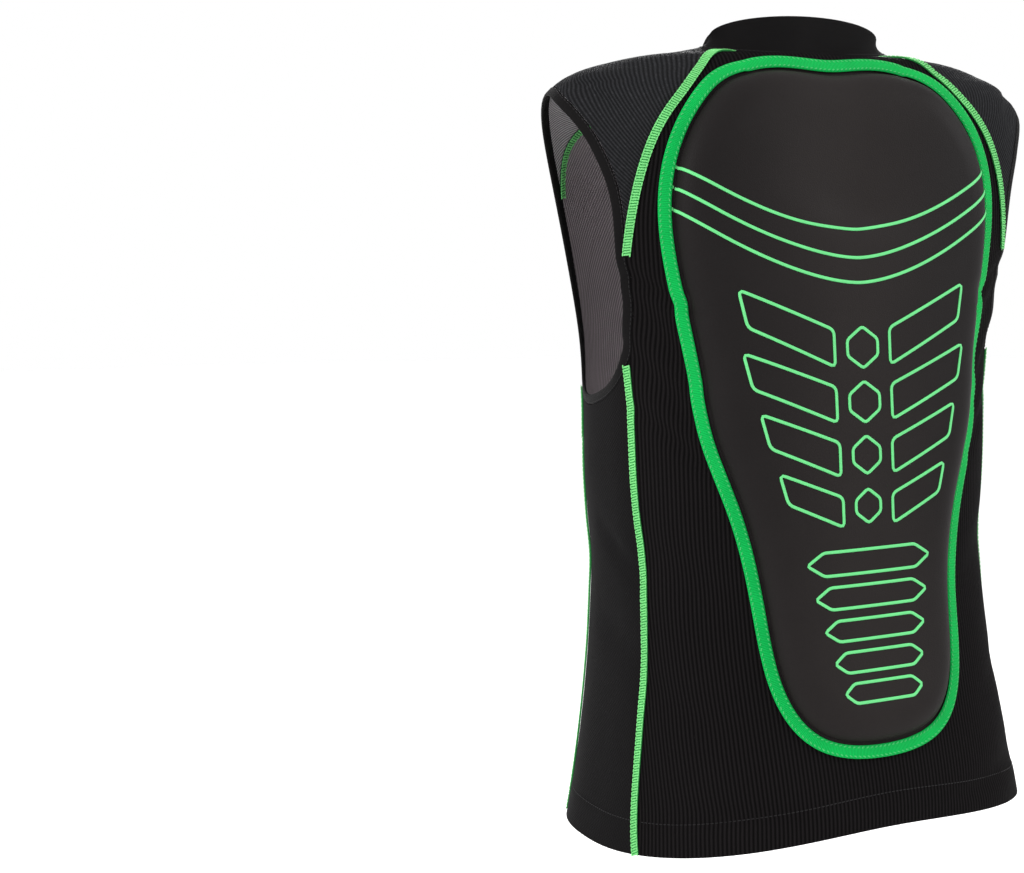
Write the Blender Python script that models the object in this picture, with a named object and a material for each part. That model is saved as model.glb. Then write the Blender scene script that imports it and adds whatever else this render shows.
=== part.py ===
"""Back protector vest: a zipped sleeveless vest with a moulded pad sewn into its back.

Metres, +Z up. The wearer faces -Y and the wearer's left is +X. The origin lies midway between the
two points where the shoulders meet the collar seam, which is where the vest hangs on its wearer.

One smooth body surface is lofted through ten rings. Every piece of cloth is a patch of that surface
between seams, and every seam is a short list of places on it: an angle round the body (0 at the
wearer's left, 90 at the back, -90 at the front) and a ring level (0 at the hem, 9 at the collar top).
"""
from collections import namedtuple

import bmesh
import bpy
import numpy as np
from mathutils import Matrix, Vector

# Body sizes
BODY_LENGTH = 0.625      # collar seam at the shoulder down to the hem at the side
SHOULDER_HALF = 0.219    # body axis to the outside of the shoulder
CHEST_DEPTH = 0.150      # body axis to the front of the chest
BACK_DEPTH = 0.150       # body axis to the back of the hem

# Cloth and trim
CLOTH = 0.0020           # shell cloth
SEAM_GAP = 0.0008        # between the cut edges of two panels, under the seam tape
LIFT = 0.0004            # between a tape or binding and the cloth that it is sewn on
TAPE_WIDTH = 0.0075      # green flat seam tape
TAPE_THICKNESS = 0.0009
TAPE_LIFT = 0.0010       # the seam tape over two panels' facets
RAGLAN_LIFT = 0.0016     # the same, where the shoulder bends more
ARM_BINDING_WIDTH = 0.0080
ARM_BINDING_THICKNESS = 0.0030
COLLAR_THICKNESS = 0.0028
FOLD_DEPTH = 0.0045      # deepest soft fold of the shell

# Back pad
PAD_THICKNESS = 0.0160   # moulded foam at its full height above the shell
PAD_FLANGE = 0.0078      # flat rim that the binding is sewn on
PAD_SHOULDER = 0.0280    # over which the pad rises from its rim to its full height
PAD_BINDING_WIDTH = 0.0105
PAD_BINDING_THICKNESS = 0.0018
PAD_BINDING_LIFT = 0.0010
POCKET_THICKNESS = 0.0011
POCKET_CLEARANCE = 0.0016
POCKET_SLACK = 0.0020    # how much further in the mesh hangs behind the pad
POCKET_RIM = 0.0100
POCKET_TAPE_WIDTH = 0.0080
POCKET_TAPE_THICKNESS = 0.0010
POCKET_TAPE_LIFT = 0.0012

# Front zip
ZIP_OPENING = 0.0110     # between the cut front edges
ZIP_TAPE_WIDTH = 0.0120
ZIP_TAPE_THICKNESS = 0.0008
COIL_WIDTH = 0.0040
COIL_THICKNESS = 0.0024
ZIP_CLEARANCE = 0.0004
SLIDER_WIDTH = 0.0085
SLIDER_LENGTH = 0.0120
SLIDER_PLATE = 0.0013
PULL_WIDTH = 0.0075
PULL_LENGTH = 0.0260
PULL_THICKNESS = 0.0015
HINGE_RADIUS = 0.0007
HINGE_CLEARANCE = 0.0005
BRIDGE_WIDTH = 0.0020
BRIDGE_BAR = 0.0008
BRIDGE_REACH = 0.0034    # from the hinge to either end of the bridge
ARM_WIDTH = 0.0012
STOP_LENGTH = 0.0070
ZIP_BACK = -(COLLAR_THICKNESS + ZIP_CLEARANCE + ZIP_TAPE_THICKNESS)  # the tapes' and coil's rear face
SLIDER_LEVEL = 8.62
STOP_LEVEL = 0.02
PULL_REST_LEVEL = 6.9    # where the pull tab's line meets the zip, and how far over it
PULL_REST_HEIGHT = 0.0030

# Chest label
LABEL_THICKNESS = 0.0010

# Heights are shares of BODY_LENGTH, widths of SHOULDER_HALF, depths of CHEST_DEPTH and BACK_DEPTH.
# Squareness is the power of the ring's outline, before and behind the body's axis; fall says how
# sharply the ring drops towards the front.
Section = namedtuple("Section", "name side front back width front_depth back_depth"
                                " squareness back_squareness fall")
SECTIONS = [
    Section("hem", -1.000, -1.008, -0.970, 0.890, 0.970, 1.000, 2.40, 2.40, 2.00),
    Section("hip", -0.900, -0.896, -0.892, 0.822, 0.980, 0.947, 2.50, 2.50, 2.00),
    Section("waist", -0.704, -0.704, -0.714, 0.758, 1.000, 0.733, 2.50, 2.50, 2.00),
    Section("ribs", -0.534, -0.532, -0.534, 0.776, 0.995, 0.647, 2.50, 2.50, 2.00),
    Section("armpit", -0.405, -0.405, -0.395, 0.795, 0.930, 0.600, 2.50, 2.50, 2.00),
    Section("chest", -0.269, -0.372, -0.245, 0.904, 0.895, 0.540, 2.40, 2.40, 2.10),
    Section("shoulder_tip", -0.099, -0.326, -0.190, 1.000, 0.800, 0.467, 2.30, 2.30, 2.30),
    Section("shoulder_top", -0.025, -0.277, -0.025, 0.808, 0.690, 0.337, 2.25, 2.15, 1.95),
    Section("collar_seam", 0.000, -0.252, -0.006, 0.430, 0.595, 0.155, 2.90, 2.00, 1.57),
    Section("collar_top", 0.019, -0.233, 0.045, 0.358, 0.570, 0.110, 2.80, 2.00, 1.57),
]
SHOULDER_TOP = 7.0
COLLAR_SEAM = 8.0
COLLAR_TOP = 9.0

# Seams on the wearer's left, as (angle, level); the right side mirrors them
PRINCESS = [(-24, 0), (-25, 1), (-26, 2), (-28.5, 3), (-33.5, 4.1), (-38.0, 5.1),
            (-40.8, 6.1), (-39.5, 7.1), (-32, 8)]
PRINCESS_FORK = 3        # the row of PRINCESS where the side front seam joins it
SIDE_FRONT = [(-28.5, 3), (-26.5, 3.35), (-24.5, 3.78)]
SIDE_BACK = [(20, 0), (17, 0.9), (15, 1.8), (12.5, 2.6), (11.5, 3.4), (11, 4.12)]
YOKE_FRONT = [(-27.8, 5.65), (-27, 6.1), (-28, 6.9), (-26, 8)]
RAGLAN_TAPE_START = 0.32
RAGLAN = [(14.8, 5.05), (17.5, 5.6), (20.5, 6.25), (21.5, 6.9), (15.5, 8)]
# The armhole's cut edge, round from the shoulder top by the back; the seams end on its rows
ARMHOLE = [(-6, 6.52), (12.5, 5.80), (14.8, 5.05), (11, 4.12), (-7, 3.68), (-24.5, 3.78),
           (-32.2, 4.60), (-27.8, 5.65)]
ARM_RAGLAN, ARM_SIDE_BACK, ARM_SIDE_FRONT, ARM_YOKE = 2, 3, 5, 7

# Half of each outline on the back, as (degrees from the back's middle, level), bottom to top
PAD_OUTLINE = [(0, 1.12), (22, 1.23), (36, 1.60), (43, 2.10), (50, 2.70), (58.5, 3.40), (63, 4.20),
               (67, 5.00), (68, 5.70), (65, 6.50), (57, 7.00), (30, 7.06), (0, 7.03)]
PAD_SPINE = (2.3, 6.0)   # levels between which the pad's ridge line runs
POCKET_OUTLINE = [(0, 0.98), (26, 1.10), (41, 1.55), (48, 2.20), (56, 2.85), (65, 3.50), (69, 4.30),
                  (70, 5.00), (68, 5.60), (64, 6.15), (54, 6.58), (28, 6.70), (0, 6.70)]
POCKET_SPINE = (2.3, 5.6)

# Soft folds: a line between two places, its width in millimetres and its share of FOLD_DEPTH
Fold = namedtuple("Fold", "angle_from level_from angle_to level_to width depth")
FOLDS = [
    Fold(13, 4.85, 27, 3.95, 10, 0.75),
    Fold(12, 4.30, 27, 3.60, 9, 0.60),
    Fold(6, 6.60, 12, 5.95, 9, 0.45),
    Fold(14, 2.45, 40, 2.05, 16, 0.55),
    Fold(-24, 2.30, -45, 2.05, 16, 0.40),
    Fold(30, 0.75, 60, 0.45, 16, 0.60),
]
DEGREE_SPAN = 3.0        # millimetres round the body for a degree, for the folds' widths
LEVEL_SPAN = 85.0        # millimetres up the body for a level

# Label corners on the wearer's left chest: bottom front, bottom side, top side, top front
LABEL_CORNERS = [(-67, 4.02), (-45, 4.02), (-48, 4.50), (-69, 4.86)]

# Mesh cells, so that neighbours share their seam's stations
LOW_CELLS = 11           # hem to the fork of the princess seam
FORK_CELLS = 3           # fork to the armhole
HIGH_CELLS = 11          # fork to the collar seam along the princess seam
ARM_FRONT_CELLS = HIGH_CELLS + 1 - FORK_CELLS
FRONT_CELLS = 7          # zip to princess seam
SIDE_CELLS = 6           # princess seam to side back seam
YOKE_CELLS = 6
YOKE_ACROSS = 7
ARM_BACK_CELLS = 4
HEM_BACK_CELLS = 8       # half of the back's hem
NECK_BACK_CELLS = 5      # half of the back's collar seam
SHELL_RINGS = 4          # back shell, from its edge to the pad
LABEL_CELLS = 6
COLLAR_CELLS = 2
PAD_RISE_STEPS = (0.10, 0.40, 1.00)
PAD_INNER_STEPS = (0.60, 0.25, 0.0)
POCKET_STATIONS = 44

MATERIALS = {
    "shell_knit": ((0.013, 0.012, 0.012), 0.85, 0.0),
    "yoke_mesh": ((0.022, 0.022, 0.024), 0.80, 0.0),
    "side_stretch": ((0.011, 0.010, 0.010), 0.70, 0.0),
    "collar_binding": ((0.010, 0.010, 0.010), 0.65, 0.0),
    "pad_cover": ((0.020, 0.018, 0.018), 0.55, 0.0),
    "pocket_mesh": ((0.065, 0.030, 0.038), 0.90, 0.0),
    "overlock": ((0.005, 0.050, 0.022), 0.80, 0.0),
    "seam_tape": ((0.190, 0.720, 0.230), 0.60, 0.0),
    "pad_binding": ((0.006, 0.560, 0.105), 0.60, 0.0),
    "label": ((0.095, 0.760, 0.140), 0.55, 0.0),
    "zip_tape": ((0.020, 0.019, 0.022), 0.75, 0.0),
    "zip_coil": ((0.030, 0.030, 0.034), 0.40, 0.0),
    "slider_metal": ((0.550, 0.550, 0.560), 0.25, 1.0),
    "pull_rubber": ((0.060, 0.060, 0.064), 0.50, 0.0),
}


def natural_spline(rows, at):
    """Cubic curve through rows at 0, 1, 2, ... with no bend at its ends, read at the numbers in at."""
    rows = np.asarray(rows, float)
    count = len(rows)
    left = np.eye(count)
    right = np.zeros((count, count))
    for i in range(1, count - 1):
        left[i, i - 1:i + 2] = 1, 4, 1
        right[i, i - 1:i + 2] = 6, -12, 6
    bend = np.linalg.solve(left, right @ rows)
    at = np.asarray(at, float)
    step = np.clip(np.floor(at).astype(int), 0, count - 2)
    b = (at - step)[..., None]
    a = 1 - b
    return (a * rows[step] + b * rows[step + 1]
            + ((a ** 3 - a) * bend[step] + (b ** 3 - b) * bend[step + 1]) / 6)


def closed_spline(rows, at):
    """Cubic curve through rows at 0, 1, 2, ... and back to the first, read at the numbers in at."""
    rows = np.asarray(rows, float)
    count = len(rows)
    wrapped = np.concatenate([rows] * 3)
    return natural_spline(wrapped, np.asarray(at, float) % count + count)


def fold_depth(angle, level):
    """How far the soft folds pull the cloth in: a bell across each fold's line, faded at its ends."""
    x = np.abs(((angle + 90) % 360) - 180) * -1 + 90
    total = np.zeros_like(x, float)
    for fold in FOLDS:
        start = np.array([fold.angle_from * DEGREE_SPAN, fold.level_from * LEVEL_SPAN])
        end = np.array([fold.angle_to * DEGREE_SPAN, fold.level_to * LEVEL_SPAN])
        run = end - start
        place = np.stack([x * DEGREE_SPAN, level * LEVEL_SPAN], -1) - start
        along = np.clip(place @ run / (run @ run), 0, 1)
        away = np.linalg.norm(place - along[..., None] * run, axis=-1)
        fade = np.sin(np.pi * (0.15 + 0.7 * along))
        total += fold.depth * FOLD_DEPTH * fade * np.exp(-(away / fold.width) ** 2)
    return total


def body_point(angle, level):
    """A place on the body surface: a rounded-square ring, its height falling from side to middle.

    Above the shoulders' top row and behind the axis, the height goes with the distance behind it.
    """
    angle, level = np.broadcast_arrays(np.asarray(angle, float), np.asarray(level, float))
    table = [row[1:] for row in SECTIONS]
    side, front, back, width, deep_front, deep_back, power, back_power, fall = np.moveaxis(
        natural_spline(table, level), -1, 0)
    turn = np.radians(angle)
    across, along = np.cos(turn), np.sin(turn)
    depth = np.where(along > 0, deep_back * BACK_DEPTH, deep_front * CHEST_DEPTH)
    power = np.where(along > 0, back_power, power)
    reach = ((np.abs(across) / (width * SHOULDER_HALF)) ** power
             + (np.abs(along) / depth) ** power) ** (-1 / power)
    reach = reach - fold_depth(angle, level)
    middle = np.where(along > 0, back, front)
    share = np.abs(along) ** np.where(along > 0, 2.0, fall)
    stands = (along > 0) & (level > SHOULDER_TOP)
    share = np.where(stands, reach * np.abs(along) / depth, share)
    height = (side + (middle - side) * share) * BODY_LENGTH
    return np.stack([reach * across, reach * along, height], -1)


def body_normal(angle, level):
    """Outward direction: the cross product of the steps round the body and up it."""
    round_step = body_point(angle + 0.2, level) - body_point(angle - 0.2, level)
    up_step = body_point(angle, level + 0.01) - body_point(angle, level - 0.01)
    normal = np.cross(round_step, up_step)
    return normal / np.linalg.norm(normal, axis=-1, keepdims=True)


def lifted(places, height):
    """Points at a height over the body surface, for places (..., 2) of angle and level."""
    angle, level = places[..., 0], places[..., 1]
    return body_point(angle, level) + body_normal(angle, level) * np.asarray(height)[..., None]


def stretch(rows, start, end, cells):
    """Stations along a seam between two of its rows, both ends included."""
    return natural_spline(rows, np.linspace(start, end, cells + 1))


def arm_stretch(start, end, cells):
    """Stations along the armhole's edge, from one of its rows to another."""
    return closed_spline(ARMHOLE, np.linspace(start, end, cells + 1))


def ring_stretch(level, start, end, cells):
    """Stations along a ring, between two angles."""
    angles = np.linspace(start, end, cells + 1)
    return np.stack([angles, np.full(cells + 1, float(level))], -1)


def join(*runs):
    """Runs of stations end to end, without repeating where they meet."""
    return np.concatenate([runs[0]] + [run[1:] for run in runs[1:]])


def zip_line(offset, cells, start=0.0, end=COLLAR_SEAM):
    """Stations up the front at a distance from its middle, towards the wearer's left."""
    level = np.linspace(start, end, cells + 1)
    depth = natural_spline([[row.front_depth] for row in SECTIONS], level)[:, 0] * CHEST_DEPTH
    return np.stack([-90 + np.degrees(np.arctan2(offset, depth)), level], -1)


def blend_patch(bottom, top, left, right):
    """Places inside four joined edges: the two pairs of edges blended, less their corners' blend."""
    u = np.linspace(0, 1, len(bottom))[None, :, None]
    v = np.linspace(0, 1, len(left))[:, None, None]
    sides = (1 - u) * left[:, None] + u * right[:, None]
    ends = (1 - v) * bottom[None] + v * top[None]
    corners = ((1 - u) * (1 - v) * bottom[0] + u * (1 - v) * bottom[-1]
               + (1 - u) * v * top[0] + u * v * top[-1])
    return sides + ends - corners


def away_from(edge, inner):
    """Unit directions from an edge's points towards the row inside it, square to the edge."""
    tangent = np.gradient(edge, axis=0)
    tangent /= np.linalg.norm(tangent, axis=1, keepdims=True)
    inward = inner - edge
    inward -= (inward * tangent).sum(1, keepdims=True) * tangent
    return inward / np.linalg.norm(inward, axis=1, keepdims=True)


def pull_in(points, distance):
    """Draw the four edges of a grid of points inwards by a distance."""
    result = points.copy()
    result[0] += away_from(points[0], points[1]) * distance
    result[-1] += away_from(points[-1], points[-2]) * distance
    result[:, 0] += away_from(points[:, 0], points[:, 1]) * distance
    result[:, -1] += away_from(points[:, -1], points[:, -2]) * distance
    return result


def material(name):
    """The named material, made on its first use."""
    found = bpy.data.materials.get(name)
    if found:
        return found
    colour, roughness, metallic = MATERIALS[name]
    made = bpy.data.materials.new(name)
    made.use_nodes = True
    made.diffuse_color = (*colour, 1)
    shader = made.node_tree.nodes["Principled BSDF"]
    shader.inputs["Base Color"].default_value = (*colour, 1)
    shader.inputs["Roughness"].default_value = roughness
    shader.inputs["Metallic"].default_value = metallic
    return made


def add_solid(name, mesh_edit, finish, side=1):
    """Turn a finished bmesh into the named object; side -1 mirrors it to the wearer's right."""
    if side < 0:
        bmesh.ops.scale(mesh_edit, vec=(-1, 1, 1), verts=mesh_edit.verts)
    bmesh.ops.remove_doubles(mesh_edit, verts=mesh_edit.verts, dist=1e-6)
    bmesh.ops.recalc_face_normals(mesh_edit, faces=mesh_edit.faces)
    bmesh.ops.triangulate(mesh_edit, faces=mesh_edit.faces, quad_method="SHORT_EDGE")
    mesh = bpy.data.meshes.new(name)
    mesh_edit.to_mesh(mesh)
    mesh_edit.free()
    mesh.materials.append(material(finish))
    mesh.shade_smooth()
    mesh.set_sharp_from_angle(angle=np.radians(35))
    made = bpy.data.objects.new(name, mesh)
    bpy.context.scene.collection.objects.link(made)
    return made


def sheet_solid(name, outer, inner, finish, side=1, looped=False, ridged=False):
    """A closed wall between two grids of points (rows, columns, 3), open or looped by columns.

    Ridged: the last row falls together on a line, so no wall closes it.
    """
    rows, columns = outer.shape[:2]
    edit = bmesh.new()
    skins = []
    for grid in (outer, inner):
        skins.append([[edit.verts.new(point) for point in row] for row in grid])
    steps = columns if looped else columns - 1
    for skin in skins:
        for i in range(rows - 1):
            for j in range(steps):
                k = (j + 1) % columns
                edit.faces.new((skin[i][j], skin[i][k], skin[i + 1][k], skin[i + 1][j]))
    over, under = skins
    for i in (0,) if ridged else (0, rows - 1):
        for j in range(steps):
            k = (j + 1) % columns
            edit.faces.new((over[i][j], over[i][k], under[i][k], under[i][j]))
    if not looped:
        for j in (0, columns - 1):
            for i in range(rows - 1):
                edit.faces.new((over[i][j], over[i + 1][j], under[i + 1][j], under[i][j]))
    return add_solid(name, edit, finish, side)


def panel(name, places, finish, side, thickness=CLOTH):
    """A cloth panel: its patch of the body surface, drawn in from its seams, with its thickness."""
    outer = pull_in(body_point(places[..., 0], places[..., 1]), SEAM_GAP / 2)
    inner = outer - body_normal(places[..., 0], places[..., 1]) * thickness
    return sheet_solid(name, outer, inner, finish, side)


def strip(name, places, width, lift, thickness, finish, side=1, looped=False, trim=(0.0, 0.0)):
    """A flat tape along a seam: its two edges stand off the seam by half its width."""
    line = body_point(places[:, 0], places[:, 1])
    normal = body_normal(places[:, 0], places[:, 1])
    if looped:
        tangent = np.roll(line, -1, axis=0) - np.roll(line, 1, axis=0)
    else:
        tangent = np.gradient(line, axis=0)
    tangent /= np.linalg.norm(tangent, axis=1, keepdims=True)
    if not looped:
        line[0] += tangent[0] * trim[0]
        line[-1] -= tangent[-1] * trim[1]
    across = np.cross(normal, tangent) * width / 2
    low = line + normal * lift
    high = low + normal * thickness
    return sheet_solid(name, np.stack([high - across, high + across]),
                       np.stack([low - across, low + across]), finish, side, looped)


def mirrored(places):
    """The same places on the wearer's right."""
    return np.stack([180 - places[..., 0], places[..., 1]], -1)


def half_outline(rows, count):
    """A closed outline on the back from half of it: count stations from the bottom middle round."""
    right = [(90 + degrees, level) for degrees, level in rows]
    left = [(90 - degrees, level) for degrees, level in rows[-2:0:-1]]
    loop = np.array(right + left, float)
    return closed_spline(loop, np.arange(count) * len(loop) / count), loop


def shell_outer_loop():
    """The back shell's edge, from the hem's middle towards the wearer's right and all round."""
    left = join(
        ring_stretch(0, 90, SIDE_BACK[0][0], HEM_BACK_CELLS),
        stretch(SIDE_BACK, 0, len(SIDE_BACK) - 1, LOW_CELLS + FORK_CELLS),
        arm_stretch(ARM_SIDE_BACK, ARM_RAGLAN, ARM_BACK_CELLS),
        stretch(RAGLAN, 0, len(RAGLAN) - 1, YOKE_CELLS),
        ring_stretch(COLLAR_SEAM, RAGLAN[-1][0], 90, NECK_BACK_CELLS))
    right = mirrored(left)
    return np.concatenate([right, left[::-1][1:-1]])


def outline_facing(rows, places):
    """The outline's places that lie in the same directions from the pad's middle as the places."""
    dense, _ = half_outline(rows, 720)
    centre = np.array([90.0, 4.1])
    scale = np.array([1 / 62.0, 1 / 3.6])

    def direction(points):
        offset = (points - centre) * scale
        return np.arctan2(offset[:, 0], -offset[:, 1]) % (2 * np.pi)

    known = direction(dense)
    order = np.argsort(known)
    wanted = direction(places)
    angle = np.interp(wanted, known[order], dense[order, 0], period=2 * np.pi)
    level = np.interp(wanted, known[order], dense[order, 1], period=2 * np.pi)
    return np.stack([angle, level], -1)


def ridge_places(outline, spine):
    """For each place of an outline, the place on the back's middle line that it faces."""
    level = np.clip(outline[:, 1], *spine)
    return np.stack([np.full(len(outline), 90.0), level], -1)


def inward_share(outline, ridge, inward, distance):
    """Share of the way from an outline to its ridge at which a place lies a distance inside the edge."""
    edge = body_point(*outline.T)
    share = np.full(len(outline), 0.1)
    for _ in range(6):
        place = outline + (ridge - outline) * share[:, None]
        covered = ((body_point(*place.T) - edge) * inward).sum(1)
        share = np.clip(share * distance / covered, 0.001, 0.9)
    return share


def pad_rings(outline, spine, distances, steps):
    """Places from an outline in to its ridge: rings at distances from the edge, then shares of the rest.

    Returns the places (rings, stations, 2) and how far each ring lies from the edge.
    """
    ridge = ridge_places(outline, spine)
    edge = body_point(*outline.T)
    inward = looped_inward(edge, body_point(*(outline + (ridge - outline) * 0.05).T))
    left = [np.ones(len(outline))]
    left += [1 - inward_share(outline, ridge, inward, distance) for distance in distances[1:]]
    left += [left[-1] * step for step in steps]
    places = ridge[None] + (outline - ridge)[None] * np.array(left)[..., None]
    away = np.array(list(distances) + [distances[-1]] * len(steps))
    return places, np.broadcast_to(away[:, None], places.shape[:2])


def dome_height(distance):
    """The pad's rise: level on its rim, a quarter round over its shoulder, then level."""
    rise = np.clip((distance - PAD_FLANGE) / PAD_SHOULDER, 0, 1)
    return PAD_THICKNESS * np.sqrt(1 - (1 - rise) ** 2)


def looped_inward(edge, inside):
    """Directions from a looped edge to the row inside it, square to the edge."""
    edge = np.concatenate([edge[-1:], edge, edge[:1]])
    inside = np.concatenate([inside[-1:], inside, inside[:1]])
    return away_from(edge, inside)[1:-1]


def make_front(side, word):
    """Centre and outer front panels and the shoulder yoke of one side."""
    high = len(PRINCESS) - 1
    low_princess = stretch(PRINCESS, 0, PRINCESS_FORK, LOW_CELLS)
    high_princess = stretch(PRINCESS, PRINCESS_FORK, high, HIGH_CELLS)
    zip_edge = zip_line(ZIP_OPENING / 2 - SEAM_GAP / 2, LOW_CELLS + HIGH_CELLS)
    hem = ring_stretch(0, zip_edge[0, 0], PRINCESS[0][0], FRONT_CELLS)
    neck = ring_stretch(COLLAR_SEAM, zip_edge[-1, 0], PRINCESS[-1][0], FRONT_CELLS)
    panel(f"front_centre_{word}",
          blend_patch(hem, neck, zip_edge, join(low_princess, high_princess)), "shell_knit", side)

    fork = 0.22
    side_front = stretch(SIDE_FRONT, fork, len(SIDE_FRONT) - 1, FORK_CELLS)
    inner_edge = join(high_princess,
                      ring_stretch(COLLAR_SEAM, PRINCESS[-1][0], YOKE_FRONT[-1][0], 1))
    inner_edge[0] = natural_spline(PRINCESS, PRINCESS_FORK + fork * 0.4)
    outer_edge = join(side_front, arm_stretch(ARM_SIDE_FRONT, ARM_YOKE, ARM_FRONT_CELLS))
    yoke_front = stretch(YOKE_FRONT, 0, len(YOKE_FRONT) - 1, YOKE_CELLS)
    along = np.linspace(0, 1, YOKE_CELLS + 1)[:, None]
    fork_edge = inner_edge[0] + along * (outer_edge[0] - inner_edge[0])
    panel(f"front_outer_{word}", blend_patch(fork_edge, yoke_front[::-1], inner_edge, outer_edge),
          "shell_knit", side)

    arm_top = arm_stretch(ARM_YOKE, len(ARMHOLE) + ARM_RAGLAN, YOKE_ACROSS)
    raglan = stretch(RAGLAN, 0, len(RAGLAN) - 1, YOKE_CELLS)
    neck_top = ring_stretch(COLLAR_SEAM, YOKE_FRONT[-1][0], RAGLAN[-1][0], YOKE_ACROSS)
    panel(f"shoulder_yoke_{word}", blend_patch(arm_top, neck_top, yoke_front, raglan),
          "yoke_mesh", side)


def make_side(side, word):
    """The panel under the arm, from the princess seam to the side back seam."""
    front = join(stretch(PRINCESS, 0, PRINCESS_FORK, LOW_CELLS),
                 stretch(SIDE_FRONT, 0, len(SIDE_FRONT) - 1, FORK_CELLS))
    back = stretch(SIDE_BACK, 0, len(SIDE_BACK) - 1, LOW_CELLS + FORK_CELLS)
    hem = ring_stretch(0, PRINCESS[0][0], SIDE_BACK[0][0], SIDE_CELLS)
    arm = arm_stretch(ARM_SIDE_FRONT, ARM_SIDE_BACK, SIDE_CELLS)
    panel(f"side_panel_{word}", blend_patch(hem, arm, front, back), "side_stretch", side)


def make_back():
    """The back shell round the pad's window."""
    outer = shell_outer_loop()
    window = outline_facing(PAD_OUTLINE, outer)
    share = np.linspace(0, 1, SHELL_RINGS + 1)[:, None, None]
    places = outer[None] * (1 - share) + window[None] * share
    points = body_point(places[..., 0], places[..., 1])
    normal = body_normal(places[..., 0], places[..., 1])
    drawn = points.copy()
    for edge, inside in ((0, 1), (-1, -2)):
        drawn[edge] += looped_inward(points[edge], points[inside]) * SEAM_GAP / 2
    sheet_solid("back_shell", drawn, drawn - normal * CLOTH, "shell_knit", looped=True)


def make_pad():
    """The moulded pad in the shell's window and the binding round it."""
    outline = outline_facing(PAD_OUTLINE, shell_outer_loop())
    distances = [0, PAD_FLANGE] + [PAD_FLANGE + PAD_SHOULDER * step for step in PAD_RISE_STEPS]
    places, away = pad_rings(outline, PAD_SPINE, distances, PAD_INNER_STEPS)
    outer = lifted(places, dome_height(away))
    inner = lifted(places, np.full(away.shape, -CLOTH))
    for skin in (outer, inner):
        skin[0] += looped_inward(skin[0], skin[1]) * SEAM_GAP / 2
    sheet_solid("back_pad", outer, inner, "pad_cover", looped=True, ridged=True)
    strip("pad_binding", outline, PAD_BINDING_WIDTH, PAD_BINDING_LIFT, PAD_BINDING_THICKNESS,
          "pad_binding", looped=True)


def make_pocket():
    """The mesh pocket behind the pad and the overlocked tape along its edge."""
    edge, _ = half_outline(POCKET_OUTLINE, POCKET_STATIONS)
    distances = [0, POCKET_RIM, POCKET_RIM * 3]
    places, away = pad_rings(edge, POCKET_SPINE, distances, (0.5, 0.0))
    slack = POCKET_SLACK * np.clip((away - POCKET_RIM) / (2 * POCKET_RIM), 0, 1)
    rim = CLOTH + POCKET_CLEARANCE
    outer = lifted(places, -rim - slack)
    inner = lifted(places, -rim - slack - POCKET_THICKNESS)
    sheet_solid("pad_pocket", outer, inner, "pocket_mesh", looped=True, ridged=True)
    strip("pocket_edge_tape", edge, POCKET_TAPE_WIDTH,
          -(rim + POCKET_THICKNESS + POCKET_TAPE_LIFT + POCKET_TAPE_THICKNESS), POCKET_TAPE_THICKNESS,
          "overlock", looped=True)


def make_collar():
    """The stand collar from the collar seam up, open at the zip."""
    zip_angle = zip_line(ZIP_OPENING / 2 - SEAM_GAP / 2, 1, COLLAR_SEAM, COLLAR_TOP)[:, 0]
    left = join(
        ring_stretch(COLLAR_SEAM, zip_angle[0], PRINCESS[-1][0], FRONT_CELLS),
        ring_stretch(COLLAR_SEAM, PRINCESS[-1][0], YOKE_FRONT[-1][0], 1),
        ring_stretch(COLLAR_SEAM, YOKE_FRONT[-1][0], RAGLAN[-1][0], YOKE_ACROSS),
        ring_stretch(COLLAR_SEAM, RAGLAN[-1][0], 90, NECK_BACK_CELLS))
    seam = join(left, mirrored(left)[::-1])
    level = np.linspace(COLLAR_SEAM, COLLAR_TOP, COLLAR_CELLS + 1)[:, None]
    places = np.stack(np.broadcast_arrays(seam[None, :, 0], level), -1)
    outer = pull_in(body_point(places[..., 0], places[..., 1]), SEAM_GAP / 2)
    inner = outer - body_normal(places[..., 0], places[..., 1]) * COLLAR_THICKNESS
    sheet_solid("collar", outer, inner, "collar_binding")


def make_arm_binding(side, word):
    """The black binding that runs round the armhole inside the panels' cut edges."""
    places = join(
        arm_stretch(ARM_YOKE, len(ARMHOLE) + ARM_RAGLAN, YOKE_ACROSS),
        arm_stretch(ARM_RAGLAN, ARM_SIDE_BACK, ARM_BACK_CELLS),
        arm_stretch(ARM_SIDE_BACK, ARM_SIDE_FRONT, SIDE_CELLS),
        arm_stretch(ARM_SIDE_FRONT, ARM_YOKE, ARM_FRONT_CELLS))[:-1]
    line = body_point(places[:, 0], places[:, 1])
    normal = body_normal(places[:, 0], places[:, 1])
    tangent = np.roll(line, -1, axis=0) - np.roll(line, 1, axis=0)
    tangent /= np.linalg.norm(tangent, axis=1, keepdims=True)
    inward = np.cross(tangent, normal)
    near = line + inward * SEAM_GAP / 2 + normal * (ARM_BINDING_THICKNESS - CLOTH) / 2
    far = near + inward * ARM_BINDING_WIDTH
    down = normal * ARM_BINDING_THICKNESS
    sheet_solid(f"armhole_binding_{word}", np.stack([near, far]), np.stack([near - down, far - down]),
                "collar_binding", side, looped=True)


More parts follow.
